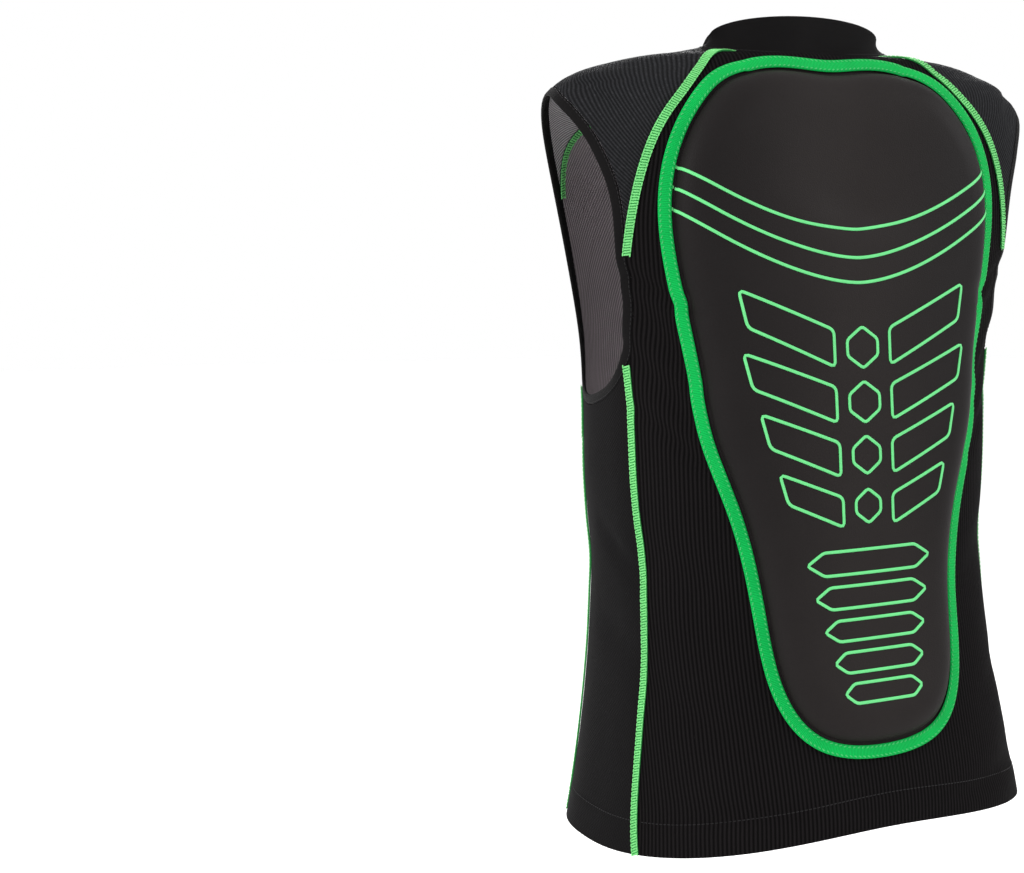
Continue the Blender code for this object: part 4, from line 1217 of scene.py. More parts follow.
def back_place(x, z):
    """Places (angle, level) of the back at given X and Z: Newton's steps from the middle line."""
    level = np.linspace(0.5, 7.5, 200)
    middle = body_point(90.0, level)[:, 2]
    places = np.stack([90 - x * 420, np.interp(z, middle, level)], -1)
    for _ in range(8):
        here = surface(places)
        turned = surface(places + (0.1, 0.0))
        risen = surface(places + (0.0, 0.01))
        a, b = (turned - here)[..., 0] / 0.1, (risen - here)[..., 0] / 0.01
        c, d = (turned - here)[..., 2] / 0.1, (risen - here)[..., 2] / 0.01
        off_x, off_z = x - here[..., 0], z - here[..., 2]
        scale = a * d - b * c
        step = np.stack([(off_x * d - off_z * b) / scale, (off_z * a - off_x * c) / scale], -1)
        places = places + np.clip(step, -20, 20)
    return places


PATH_SPACING = 0.001
LINE_SPACING = 0.0022


def rounded_path(corners, radius, closed):
    """A path through corners, rounded by averaging its close points over the radius."""
    corners = np.asarray(corners, float)
    path = resampled(corners, PATH_SPACING, looped=closed)
    reach = int(round(radius / PATH_SPACING))
    if closed:
        path = sum(np.roll(path, shift, axis=0) for shift in range(-reach, reach + 1))
        return path / (2 * reach + 1)
    padded = np.concatenate([np.repeat(path[:1], reach, 0), path, np.repeat(path[-1:], reach, 0)])
    count = len(path)
    return sum(padded[shift:shift + count] for shift in range(2 * reach + 1)) / (2 * reach + 1)


# The raised lines, in shares of BODY_LENGTH: arcs hang from the binding, rib bars lean out from a column
# of hexagons, and flat bars step down the spine
Arc = namedtuple("Arc", "middle rise")
ARCS = [Arc(-0.232, 0.095), Arc(-0.262, 0.098), Arc(-0.292, 0.101)]
RibBar = namedtuple("RibBar", "middle inner outer height rise")
RIB_BARS = [
    RibBar(-0.372, 0.040, 0.150, 0.046, 0.052),
    RibBar(-0.442, 0.040, 0.146, 0.044, 0.046),
    RibBar(-0.510, 0.038, 0.128, 0.042, 0.040),
    RibBar(-0.576, 0.036, 0.108, 0.038, 0.034),
]
Lozenge = namedtuple("Lozenge", "middle half_width half_height point")
HEXAGONS = [
    Lozenge(-0.372, 0.022, 0.026, 0.010), Lozenge(-0.440, 0.022, 0.026, 0.010),
    Lozenge(-0.506, 0.020, 0.024, 0.009), Lozenge(-0.570, 0.018, 0.022, 0.008),
]
FLAT_BARS = [
    Lozenge(-0.640, 0.088, 0.0150, 0.022), Lozenge(-0.684, 0.080, 0.0140, 0.020),
    Lozenge(-0.726, 0.072, 0.0130, 0.018), Lozenge(-0.766, 0.064, 0.0125, 0.016),
    Lozenge(-0.804, 0.056, 0.0120, 0.014),
]

# The dense stations of the pad's outline up one of its sides
ONE_SIDE = slice(100, 400)


def print_paths():
    """The raised lines as (name, path in X and Z as shares, closed, rounding in metres)."""
    paths = []
    edge = surface(half_outline(PAD_OUTLINE, DENSE_STATIONS))[ONE_SIDE] / BODY_LENGTH
    edge = edge[np.argsort(edge[:, 2])]
    share = np.linspace(-1, 1, 241)
    for number, arc in enumerate(ARCS, 1):
        path = np.stack([share * 0.24, arc.middle + arc.rise * np.abs(share) ** 1.7], -1)
        reach = np.abs(np.interp(path[:, 1], edge[:, 2], edge[:, 0])) - 0.004
        paths.append((f"pad_arc_{number}", path[np.abs(path[:, 0]) < reach], False, 0.001))
    for number, bar in enumerate(RIB_BARS, 1):
        low = bar.middle - bar.height / 2
        high = bar.middle + bar.height / 2
        corners = np.array([(bar.inner, low), (bar.outer, low + bar.rise),
                            (bar.outer + 0.010, high + bar.rise), (bar.inner, high)])
        paths.append((f"pad_rib_{number}_left", corners, True, 0.004))
        paths.append((f"pad_rib_{number}_right", corners * (-1, 1), True, 0.004))
    for word, rows in (("cell", HEXAGONS), ("step", FLAT_BARS)):
        for number, row in enumerate(rows, 1):
            flat = row.half_width - row.point
            if word == "cell":
                corners = [(0, row.middle - row.half_height), (row.half_width, row.middle - row.point),
                           (row.half_width, row.middle + row.point), (0, row.middle + row.half_height),
                           (-row.half_width, row.middle + row.point),
                           (-row.half_width, row.middle - row.point)]
            else:
                corners = [(flat, row.middle - row.half_height), (row.half_width, row.middle),
                           (flat, row.middle + row.half_height), (-flat, row.middle + row.half_height),
                           (-row.half_width, row.middle), (-flat, row.middle - row.half_height)]
            paths.append((f"pad_{word}_{number}", np.array(corners), True, 0.002))
    return paths


def ladder_tape(places, height, width, trim, facing=1):
    """A flat seam: a low crowned band and threads laid across it, slanting, side by side."""
    line, normal = surface(places), outward(places)
    line, normal = resampled(line, TAPE_SPACING, normal)
    at = lengths_along(line)
    wanted = np.linspace(trim[0], at[-1] - trim[1], len(line))
    line = np.stack([np.interp(wanted, at, column) for column in line.T], -1)
    normal = np.stack([np.interp(wanted, at, column) for column in normal.T], -1)
    normal /= np.linalg.norm(normal, axis=1, keepdims=True)
    line = line + normal * height
    normal = normal * facing
    _, across = line_frame(line, normal, False)
    ground = loft_arrays(line, across, normal,
                         crowned(width * 0.94, TAPE_THICKNESS * 0.45, base=TAPE_BASE))
    threads = stitch_arrays(
        line + normal * TAPE_THICKNESS * 0.38, normal, sizes().thread_pitch * 0.66,
        sizes().thread_pitch * 0.34, width * 0.96, TAPE_THICKNESS * 0.62, turn=THREAD_TURN)
    rails = [stitch_arrays(line + across * width * share + normal * TAPE_THICKNESS * 0.62, normal,
                           *RAIL_STITCH, TAPE_THICKNESS * 0.40) for share in (-0.40, 0.40)]
    return ground, threads, *rails


def add_ladder(name, runs, side, finishes, slot, hides=True):
    """Bands and their threads as one piece; the first finish is the band's."""
    groups = [part for run in runs for part in run]
    kinds = [0 if number == 0 else 1 for run in runs for number in range(len(run))]
    which = np.concatenate([np.full(len(part[1]), kind) for part, kind in zip(groups, kinds)])
    points, quads, uvs = combined(*groups)
    points = points * (side, 1, 1)
    if side < 0:
        quads, uvs = quads[:, ::-1], uvs[:, ::-1]
    return add_piece(name, points, quads, finishes, uvs, which, nodes=(name,) if hides else (),
                     slot=slot)


# Seam tapes: their height over the cloth, thickness, and what is left free at their ends
TAPE_LIFT = 0.0009
TAPE_THICKNESS = 0.0011
TAPE_BASE = 0.0007
TAPE_SPACING = 0.004
TAPE_END = 0.0005
INSIDE_LIFT = 0.0005
INSIDE_TRIM = (0.006, 0.008)
THREAD_TURN = 14.0
# Stitches as length, gap, width and, where it is the same all along, height
RAIL_STITCH = (0.0030, 0.0006, 0.0011)
BINDING_STITCH = (0.0026, 0.0014, 0.0011, 0.00042)
OVERLOCK_STITCH = (0.0016, 0.0010)
LABEL_STITCH = (0.0022, 0.0009, 0.0008, 0.00035)
SEWN_GAP, SEWN_WIDTH = 0.0009, 0.0007
# Bindings, pocket, zip and label; every clearance is between two pieces that do not touch
PAD_BINDING_LIFT = 0.0010
PAD_BINDING_MIDDLE = 0.0009
PAD_BINDING_THICKNESS = 0.0019
BINDING_ROW_HEIGHT = 0.00085
BINDING_STITCH_TURN = 28.0
LABEL_STATIONS = 96
LABEL_POWER = 14
POCKET_CLEARANCE = 0.0016
POCKET_THICKNESS = 0.0011
POCKET_SLACK = 0.0020
POCKET_RIM = 0.010
POCKET_TAPE_WIDTH = 0.0080
POCKET_TAPE_LIFT = 0.0012
ARM_BINDING_THICKNESS = 0.0030
ZIP_TAPE_WIDTH = 0.0138
TAPE_INNER = 0.0006
ZIP_TAPE_THICKNESS = 0.0008
COIL_WIDTH = 0.0040
COIL_THICKNESS = 0.0024
ZIP_CLEARANCE = 0.0004
STOP_LENGTH = 0.0070
TOOTH_PITCH = 0.00125
# How far below the slider's middle the cord and the teeth end
CORD_SHORT = 0.0034
TEETH_SHORT = 0.0072


class VEST_OT_body_cloth(bpy.types.Operator):
    """Make the front, shoulder, side and back cloth"""

    bl_idname = "vest.body_cloth"
    bl_label = "Body cloth"

    def execute(self, context):
        centre, outer, yoke = front_places()
        knit = ("shell_knit", "shell_lining")
        for side, word in SIDES:
            cloth_panel(f"front_centre_{word}", centre, knit, side, -90, "shell_knit")
            cloth_panel(f"front_outer_{word}", outer, knit, side, -90, "shell_knit")
            cloth_panel(f"shoulder_yoke_{word}", yoke, ("yoke_mesh", "yoke_lining"), side, 0,
                        "yoke_mesh")
            cloth_panel(f"side_panel_{word}", side_places(), ("side_stretch", "shell_lining"), side, 0,
                        "side_stretch")
        places = back_places()
        uv = cloth_lengths(places, 90)
        points, normal = surface(places), outward(places)
        for edge, inside in ((0, 1), (-1, -2)):
            points[edge] += looped_inward(points[edge], points[inside]) * sizes().seam_gap / 2
        shell_piece("back_shell", points + hem_lift(uv, normal), points - normal * sizes().cloth,
                    uv, knit, looped=True, nodes=("back_shell",), slot="shell_knit")
        return {"FINISHED"}


class VEST_OT_pad(bpy.types.Operator):
    """Make the back pad, its raised lines and its stitched binding"""

    bl_idname = "vest.pad"
    bl_label = "Back pad"

    def execute(self, context):
        rim, shoulder = sizes().pad_flange, sizes().pad_shoulder
        outline = outline_facing(PAD_OUTLINE, shell_outer_loop())
        rises = (1 - np.cos(np.linspace(0, np.pi / 2, 15)[1:])) * shoulder
        distances = list(np.linspace(0, rim, 4)) + list(rim + rises)
        places, _ = pad_rings(outline, PAD_SPINE, distances, np.linspace(1, 0, 17)[1:])
        outer = pad_point(places)
        inner = lifted(places, np.full(places.shape[:2], -sizes().cloth))
        for skin in (outer, inner):
            skin[0] += looped_inward(skin[0], skin[1]) * sizes().seam_gap / 2
        pad = shell_piece("back_pad", outer, inner, cloth_lengths(places, 90),
                          ("pad_cover", "neck_lining"),
                          looped=True, ridged=True, nodes=("back_pad",), slot="pad_cover")
        for name, path, closed, rounding in print_paths():
            self.raised_line(name, path * BODY_LENGTH, closed, rounding)
        self.binding()
        return {"FINISHED"}

    def raised_line(self, name, path, closed, rounding):
        """One raised line: a low arch carried over the pad's face."""
        path = rounded_path(path, rounding, closed)
        path = resampled(path, LINE_SPACING, looped=closed)
        places = back_place(path[:, 0], path[:, 1])
        line, normal = pad_point(places), pad_normal(places)
        _, across = line_frame(line, normal, closed)
        profile = crowned(sizes().line_width, sizes().line_height)
        points, quads, uvs = loft_arrays(line, across, normal, profile, looped=closed)
        columns = len(profile)
        column = np.arange(len(quads)) % columns
        on_top = (column > 0) & (column < columns - 5)
        which = np.where(on_top, 0, 1)
        add_piece(name, points, quads, ("print_line", "print_edge"), uvs, which, slot="pad_binding")

    def binding(self):
        """The bound edge: a rounded band all round the pad with a stitched row along each side."""
        places = half_outline(PAD_OUTLINE, BINDING_STATIONS)
        line = surface(places)
        normal = outward(places)
        _, across = line_frame(line, normal, True)
        line = line + normal * (PAD_BINDING_LIFT + PAD_BINDING_MIDDLE)
        profile = rounded_bar(sizes().binding_width, PAD_BINDING_THICKNESS, 18, 2.6)
        parts = [loft_arrays(line, across, normal, profile, looped=True)]
        for share in (-0.34, 0.34):
            row = line + across * sizes().binding_width * share + normal * BINDING_ROW_HEIGHT
            parts.append(stitch_arrays(row, normal, *BINDING_STITCH, looped=True,
                                       turn=BINDING_STITCH_TURN * np.sign(share)))
        add_ladder("pad_binding", [parts], 1, ("pad_binding", "binding_thread"), "pad_binding")


class VEST_OT_pocket(bpy.types.Operator):
    """Make the mesh pocket behind the pad and its overlocked edge"""

    bl_idname = "vest.pocket"
    bl_label = "Pad pocket"

    def execute(self, context):
        edge = half_outline(POCKET_OUTLINE, POCKET_STATIONS)
        distances = [0, POCKET_RIM * 0.5, POCKET_RIM, POCKET_RIM * 1.6, POCKET_RIM * 2.3, POCKET_RIM * 3]
        places, away = pad_rings(edge, POCKET_SPINE, distances, np.linspace(1, 0, 17)[1:])
        slack = POCKET_SLACK * smooth_step((away - POCKET_RIM) / (2 * POCKET_RIM))
        rim = sizes().cloth + POCKET_CLEARANCE
        outer = lifted(places, -rim - slack)
        inner = lifted(places, -rim - slack - POCKET_THICKNESS)
        shell_piece("pad_pocket", outer, inner, cloth_lengths(places, 90), ("pocket_mesh",),
                    looped=True, ridged=True, nodes=("pad_pocket",), slot="pocket_mesh")
        line, normal = surface(edge), outward(edge)
        line = line - normal * (rim + POCKET_THICKNESS + POCKET_TAPE_LIFT)
        _, across = line_frame(line, -normal, True)
        band = loft_arrays(line, across, -normal,
                           crowned(POCKET_TAPE_WIDTH, 0.0008, base=0.0003), looped=True)
        loops = stitch_arrays(line - normal * 0.0006, -normal, *OVERLOCK_STITCH, POCKET_TAPE_WIDTH,
                              0.0006, looped=True, turn=20.0)
        add_ladder("pocket_edge_tape", [(band, loops)], 1, ("overlock_ground", "overlock_thread"),
                   "overlock")
        return {"FINISHED"}


class VEST_OT_collar(bpy.types.Operator):
    """Make the stand collar and its stitch row"""

    bl_idname = "vest.collar"
    bl_label = "Collar"

    def execute(self, context):
        zip_angle = zip_line(ZIP_HALF_OPENING, 1, COLLAR_SEAM, COLLAR_TOP)[:, 0]
        left = join(
            ring_stretch(COLLAR_SEAM, zip_angle[0], PRINCESS[-1][0], FRONT_CELLS),
            ring_stretch(COLLAR_SEAM, PRINCESS[-1][0], RAGLAN[-1][0], YOKE_ACROSS),
            ring_stretch(COLLAR_SEAM, RAGLAN[-1][0], 90, NECK_BACK_CELLS))
        seam = join(left, mirrored(left)[::-1])
        level = np.linspace(COLLAR_SEAM, COLLAR_TOP, COLLAR_CELLS + 1)[:, None]
        places = np.stack(np.broadcast_arrays(seam[None, :, 0], level), -1)
        outer = pull_in(surface(places), sizes().seam_gap / 2)
        inner = outer - outward(places) * sizes().collar_thickness
        uv = cloth_lengths(places, 90)
        shell_piece("collar", outer, inner, uv, ("collar_binding",), nodes=("collar",),
                    slot="collar_binding", bevel=0.0011)
        rows = np.stack([seam[3:-3, 0], np.full(len(seam) - 6, COLLAR_SEAM + 0.20)], -1)
        parts = stitch_arrays(lifted(rows, np.full(len(rows), 0.0001)), outward(rows),
                              sizes().stitch_length, SEWN_GAP, SEWN_WIDTH, 0.00030)
        add_piece("collar_stitches", *parts[:2], ("black_thread",), parts[2], slot="collar_binding")
        return {"FINISHED"}


class VEST_OT_arm_bindings(bpy.types.Operator):
    """Make the elastic bindings round the armholes"""

    bl_idname = "vest.arm_bindings"
    bl_label = "Armhole bindings"

    def execute(self, context):
        places = join(
            arm_stretch(ARM_YOKE, len(ARMHOLE) + ARM_RAGLAN, YOKE_ACROSS),
            arm_stretch(ARM_RAGLAN, ARM_SIDE_BACK, ARM_BACK_CELLS),
            arm_stretch(ARM_SIDE_BACK, ARM_SIDE_FRONT, SIDE_CELLS),
            arm_stretch(ARM_SIDE_FRONT, ARM_YOKE, ARM_FRONT_CELLS))[:-1]
        line, normal = surface(places), outward(places)
        line, normal = resampled(line, TAPE_SPACING, normal, looped=True)
        normal /= np.linalg.norm(normal, axis=1, keepdims=True)
        tangent, _ = line_frame(line, normal, True)
        inward = np.cross(tangent, normal)
        width = sizes().arm_binding_width
        middle = line + inward * (sizes().seam_gap + width) / 2 - normal * sizes().cloth / 2
        profile = rounded_bar(width, ARM_BINDING_THICKNESS, 20, 2.8)
        band = loft_arrays(middle, inward, normal, profile, looped=True)
        row = middle - inward * width * 0.33 + normal * ARM_BINDING_THICKNESS * 0.44
        stitches = stitch_arrays(row, normal, sizes().stitch_length, 0.0010, SEWN_WIDTH, 0.00035,
                                 looped=True)
        for side, word in SIDES:
            add_ladder(f"armhole_binding_{word}", [(band, stitches)], side,
                       ("collar_binding", "black_thread"), "collar_binding")
        return {"FINISHED"}


class VEST_OT_seams(bpy.types.Operator):
    """Make the green flat seams, outside and inside"""

    bl_idname = "vest.seams"
    bl_label = "Flat seams"

    def execute(self, context):
        high = len(PRINCESS) - 1
        seams = {
            "princess_seam": (join(stretch(PRINCESS, 0, PRINCESS_FORK, LOW_CELLS),
                                   stretch(PRINCESS, PRINCESS_FORK, high, HIGH_CELLS)),
                              (TAPE_END, TAPE_END)),
            "side_front_seam": (stretch(SIDE_FRONT, 0.75, len(SIDE_FRONT) - 1, FORK_CELLS),
                                (TAPE_END, TAPE_END)),
            "side_back_seam": (stretch(SIDE_BACK, 0, len(SIDE_BACK) - 1, LOW_CELLS + FORK_CELLS),
                               (TAPE_END, TAPE_END)),
            "raglan_seam": (stretch(RAGLAN, RAGLAN_TAPE_START, len(RAGLAN) - 1, YOKE_CELLS),
                            (TAPE_END, sizes().tape_width)),
        }
        yoke_front = ladder_tape(
            stretch(YOKE_FRONT, 0.03, len(YOKE_FRONT) - 1, YOKE_CELLS), -sizes().cloth - INSIDE_LIFT,
            sizes().tape_width * 0.9, (TAPE_END, 0.012), facing=-1)
        for side, word in SIDES:
            add_ladder(f"yoke_front_seam_{word}", [yoke_front], side,
                       ("overlock_ground", "seam_thread"), "seam_tape", hides=False)
        for name, (places, trim) in seams.items():
            outside = ladder_tape(places, TAPE_LIFT, sizes().tape_width, trim)
            inside = ladder_tape(places, -sizes().cloth - INSIDE_LIFT, sizes().tape_width * 0.8,
                                 INSIDE_TRIM, facing=-1)
            runs = [outside] if name == "princess_seam" else [outside, inside]
            for side, word in SIDES:
                add_ladder(f"{name}_{word}", runs, side, ("seam_ground", "seam_thread"), "seam_tape")
        return {"FINISHED"}


class VEST_OT_stitching(bpy.types.Operator):
    """Make the black stitch rows of the hem and the zip placket"""

    bl_idname = "vest.stitching"
    bl_label = "Hem and placket stitches"

    def execute(self, context):
        rows = {
            "hem_stitches_front_left": self.hem_row(-87.4, -25.8),
            "hem_stitches_side_left": self.hem_row(-23.0, 17.4),
            "hem_stitches_back": self.hem_row(20.6, 159.4),
            "placket_stitches_left": zip_line(0.0165, 150, 0.05, COLLAR_SEAM - 0.05),
        }
        for name, places in list(rows.items()):
            if name.endswith("left"):
                rows[name.replace("left", "right")] = mirrored(places)
        for name, places in rows.items():
            height = HEM_STEP * 0.4 if "hem" in name else 0.0001
            points, quads, uvs = stitch_arrays(
                lifted(places, np.full(len(places), height)), outward(places),
                sizes().stitch_length, SEWN_GAP, SEWN_WIDTH, 0.00032)
            add_piece(name, points, quads, ("black_thread",), uvs, slot="shell_knit")
        return {"FINISHED"}

    def hem_row(self, start, end):
        """Stations at the hem turn's height between two angles."""
        angle = np.linspace(start, end, 90)
        rise = body_point(angle, 0.6, False)[:, 2] - body_point(angle, 0.0, False)[:, 2]
        return np.stack([angle, 0.6 * HEM_TURN / rise], -1)


def zip_frame(level):
    """Origin and axes on the front's middle line: across, up the zip, and out from the body."""
    origin = body_point(-90.0, level)
    out = body_normal(-90.0, level)
    across = np.array([1.0, 0.0, 0.0])
    return origin, across, np.cross(out, across), out


class VEST_OT_zip(bpy.types.Operator):
    """Make the zip's tapes, teeth and bottom stop"""

    bl_idname = "vest.zip"
    bl_label = "Zip"

    def execute(self, context):
        back = -(sizes().collar_thickness + ZIP_CLEARANCE + ZIP_TAPE_THICKNESS)
        middle = TAPE_INNER + ZIP_TAPE_WIDTH / 2
        places = join(zip_line(middle, 110), zip_line(middle, 16, COLLAR_SEAM, COLLAR_TOP - 0.1))
        line, normal = surface(places), outward(places)
        line = line + normal * (back + ZIP_TAPE_THICKNESS / 2)
        _, across = line_frame(line, normal, False)
        tape = loft_arrays(line, across, normal,
                           rounded_bar(ZIP_TAPE_WIDTH, ZIP_TAPE_THICKNESS, 16, 4.0))
        for side, word in SIDES:
            add_ladder(f"zip_tape_{word}", [(tape,)], side, ("zip_tape",), "zip_tape")
        self.coil(back)
        self.stop(back)
        return {"FINISHED"}

    def coil(self, back):
        """Two rows of teeth that meet on the middle line, over a cord along it."""
        places = join(zip_line(0, 110), zip_line(0, 12, COLLAR_SEAM, SLIDER_LEVEL))
        line, normal = resampled(surface(places), 0.002, outward(places))
        at = lengths_along(line)
        whole = at < at[-1] - CORD_SHORT
        core, core_normal = line[whole], normal[whole]
        _, across = line_frame(core, core_normal, False)
        cord = loft_arrays(core + core_normal * (back + 0.0008), across, core_normal,
                           rounded_bar(COIL_WIDTH * 0.55, 0.0011, 12, 2.4))
        keep = (at > STOP_LENGTH) & (at < at[-1] - TEETH_SHORT)
        line, normal = line[keep], normal[keep]
        _, across = line_frame(line, normal, False)
        parts = [cord]
        for sign in (-1, 1):
            row = line[1:-1] + across[1:-1] * COIL_WIDTH * 0.24 * sign
            row = row + normal[1:-1] * (back + COIL_THICKNESS * 0.42)
            start = row[0] + (row[1] - row[0]) * (0.0 if sign < 0 else 0.31)
            row = np.concatenate([start[None], row[1:]])
            parts.append(stitch_arrays(
                row, normal[1:-1], TOOTH_PITCH * 0.72, TOOTH_PITCH * 0.28, COIL_WIDTH * 0.52,
                COIL_THICKNESS * 0.55, turn=8.0 * sign))
        add_ladder("zip_coil", [parts], 1, ("zip_coil", "zip_coil"), "zip_coil")

    def stop(self, back):
        """The bottom stop: a small rounded box over the tapes' lower ends."""
        origin, across, up, out = zip_frame(0.02)
        share = np.linspace(0, 1, 9)
        swell = np.sqrt(np.clip(1 - (2 * share - 1) ** 6, 0.05, 1))
        low = back + ZIP_TAPE_THICKNESS + ZIP_CLEARANCE
        height = -0.0004 - low
        line = origin + up * (share * (STOP_LENGTH - 0.0012))[:, None] + out * (low + height / 2)
        profile = rounded_bar(0.0082, height, 20, 4.0)[None] * swell[:, None, None]
        points, quads, uvs = loft_arrays(
            line, np.broadcast_to(across, line.shape), np.broadcast_to(out, line.shape), profile)
        add_piece("zip_bottom_stop", points, quads, ("slider_metal",), uvs,
                  nodes=("zip_bottom_stop",), slot="zip_coil")


class VEST_OT_label(bpy.types.Operator):
    """Make the plain green patch on the chest with its stitched border"""

    bl_idname = "vest.label"
    bl_label = "Chest patch"

    def execute(self, context):
        corners = np.array(LABEL_CORNERS, float)
        turn = np.arange(LABEL_STATIONS) * 2 * np.pi / LABEL_STATIONS
        ring = np.stack(rounded_square(turn, LABEL_POWER), -1)
        share = np.array([1.0, 0.985, 0.955, 0.91, 0.7, 0.45, 0.2, 0.0])
        height = 0.0005 + 0.0011 * np.array([0.30, 0.75, 0.95, 1.0, 1.0, 1.0, 1.0, 1.0])
        square = ring[None] * share[:, None, None] * (0.985, 0.96)
        places = self.spread(corners, square)
        outer = lifted(places, np.broadcast_to(height[:, None], places.shape[:2]))
        inner = lifted(places, np.full(places.shape[:2], 0.0004))
        shell_piece("chest_label", outer, inner, square * (0.024, 0.011), ("label_face",),
                    looped=True, ridged=True, nodes=("chest_label",), slot="label")
        row = self.spread(corners, ring * (0.90, 0.80))
        points, quads, uvs = stitch_arrays(
            lifted(row, np.full(len(row), 0.00155)), outward(row), *LABEL_STITCH, looped=True)
        add_piece("chest_label_stitches", points, quads, ("label_thread",), uvs, slot="label")
        return {"FINISHED"}

    def spread(self, corners, square):
        """Places in the patch's four corners for numbers from -1 to 1 each way."""
        u, v = (square[..., 0:1] + 1) / 2, (square[..., 1:2] + 1) / 2
        return ((1 - u) * (1 - v) * corners[0] + u * (1 - v) * corners[1]
                + u * v * corners[2] + (1 - u) * v * corners[3])


# The slider, the bridge over it and the pull, which turns on a bar under the bridge
SLIDER_WIDTH = 0.0085
SLIDER_LENGTH = 0.0120
SLIDER_PLATE = 0.0013
PULL_WIDTH = 0.0075
PULL_LENGTH = 0.0260
PULL_THICKNESS = 0.0015
HINGE_RADIUS = 0.0007
HINGE_CLEARANCE = 0.0005
BRIDGE_WIDTH = 0.0020
BRIDGE_BAR = 0.0008
BRIDGE_REACH = 0.0034
ARM_WIDTH = 0.0012
PULL_REST_LEVEL = 6.9
PULL_REST_HEIGHT = 0.0030


def bar_arrays(line, across, up, widths, heights, power=3.0, count=20):
    """A rounded bar along a line, its width and height given by station."""
    unit = rounded_bar(1.0, 1.0, count, power)
    size = np.stack(np.broadcast_arrays(np.asarray(widths, float) * np.ones(len(line)), heights), -1)
    return loft_arrays(line, np.broadcast_to(across, line.shape),
                       np.broadcast_to(up, line.shape), unit[None] * size[:, None])


def rounded_ends(share, power=4):
    """Swell of a bar with round ends: (1 - |2t - 1|^p)^(1/p)."""
    return np.clip(1 - np.abs(2 * share - 1) ** power, 0.04, 1) ** (1 / power)


class VEST_OT_slider(bpy.types.Operator):
    """Make the zip's slider and its rubber pull"""

    bl_idname = "vest.slider"
    bl_label = "Slider and pull"

    def execute(self, context):
        origin, across, up, out = zip_frame(SLIDER_LEVEL)
        back = -(sizes().collar_thickness + ZIP_CLEARANCE + ZIP_TAPE_THICKNESS)
        front_low = back + COIL_THICKNESS + ZIP_CLEARANCE
        front_high = front_low + SLIDER_PLATE
        half = SLIDER_LENGTH / 2
        share = np.linspace(0, 1, 25)
        line = origin + up * (share * SLIDER_LENGTH - half)[:, None]
        width = SLIDER_WIDTH * rounded_ends(share, 6) * (0.80 + 0.20 * smooth_step(share * 1.4))
        plates = [bar_arrays(line + out * middle, across, out, width, SLIDER_PLATE)
                  for middle in (front_low + SLIDER_PLATE / 2,
                                 back - ZIP_CLEARANCE - SLIDER_PLATE / 2)]
        post_line = origin + up * np.linspace(half - 0.0026, half - 0.0004, 5)[:, None]
        low, high = back - ZIP_CLEARANCE - SLIDER_PLATE / 2, front_low + SLIDER_PLATE / 2
        post = bar_arrays(post_line + out * (low + high) / 2, across, out, 0.0034, high - low)
        top = front_high + 2 * (HINGE_RADIUS + HINGE_CLEARANCE) + BRIDGE_BAR / 2
        along, rise = rounded_square(np.linspace(np.pi, 0, 25), 4)
        along = along * (BRIDGE_REACH - BRIDGE_BAR / 2)
        height = front_low + rise * (top - front_low)
        arch = origin + up * along[:, None] + out * height[:, None]
        tangent = np.gradient(arch, axis=0)
        tangent /= np.linalg.norm(tangent, axis=1, keepdims=True)
        bridge = bar_arrays(arch, across, np.cross(tangent, across), BRIDGE_WIDTH, BRIDGE_BAR)
        points, quads, uvs = combined(*plates, post, bridge)
        add_piece("zip_slider", points, quads, ("slider_metal",), uvs, nodes=("zip_slider",),
                  slot="slider_metal")
        self.pull(origin + out * (front_high + HINGE_RADIUS + HINGE_CLEARANCE), across)
        return {"FINISHED"}

    def pull(self, hinge, across):
        """The rubber tab: two arms round the bridge, a bar under it and a ridged tongue."""
        rest = lifted(np.array([-90.0, PULL_REST_LEVEL]), np.array(PULL_REST_HEIGHT))
        down = rest - hinge
        down /= np.linalg.norm(down)
        face = np.cross(down, across)
        face *= np.sign(-face[1])
        start = BRIDGE_REACH + HINGE_CLEARANCE * 2
        share = np.linspace(0, 1, 121)
        place = start + share * (PULL_LENGTH - start)
        width = PULL_WIDTH * rounded_ends(share, 8) * (0.93 + 0.07 * np.cos(share * 2 * np.pi))
        ridged = smooth_step((share - 0.34) / 0.05) * smooth_step((0.90 - share) / 0.05)
        thick = PULL_THICKNESS * (0.80 * rounded_ends(share, 8)
                                  + 0.22 * ridged * (0.5 - 0.5 * np.cos(share * 2 * np.pi * 16)))
        tongue = bar_arrays(hinge + down * place[:, None], across, face, width, thick, 5.0, 28)
        side = BRIDGE_WIDTH / 2 + HINGE_CLEARANCE + ARM_WIDTH / 2
        run = np.linspace(-HINGE_RADIUS, start + 0.0012, 12)
        arms = [bar_arrays(hinge + across * side * sign + down * run[:, None], across, face, ARM_WIDTH,
                           PULL_THICKNESS * rounded_ends(np.linspace(0.1, 0.5, 12)))
                for sign in (-1, 1)]
        span = np.linspace(-side, side, 9)
        bar = bar_arrays(hinge + across * span[:, None], face, down, 2 * HINGE_RADIUS - 0.0001,
                         2 * HINGE_RADIUS - 0.0001, 2.0)
        points, quads, uvs = combined(tongue, *arms, bar)
        add_piece("zip_pull", points, quads, ("pull_rubber",), uvs, nodes=("zip_pull",),
                  slot="pull_rubber", body="pull")


# The studio: where the camera and the lights stand; each area has a place, a power and a width
CAMERA_PLACE = (0.8370, 1.4182, -0.1089)
CAMERA_PITCH = -8.26
FLOOR_LEVEL = -1.25
FLOOR_SIDES = 64
AIM = (0, 0, -0.3)
AREAS = {
    "key": ((2.9, 0.9, 1.2), 70.0, 1.3),
    "rim": ((-2.6, 1.2, 1.0), 45.0, 1.2),
    "front_fill": ((-1.6, -2.6, 1.2), 60.0, 1.4),
}


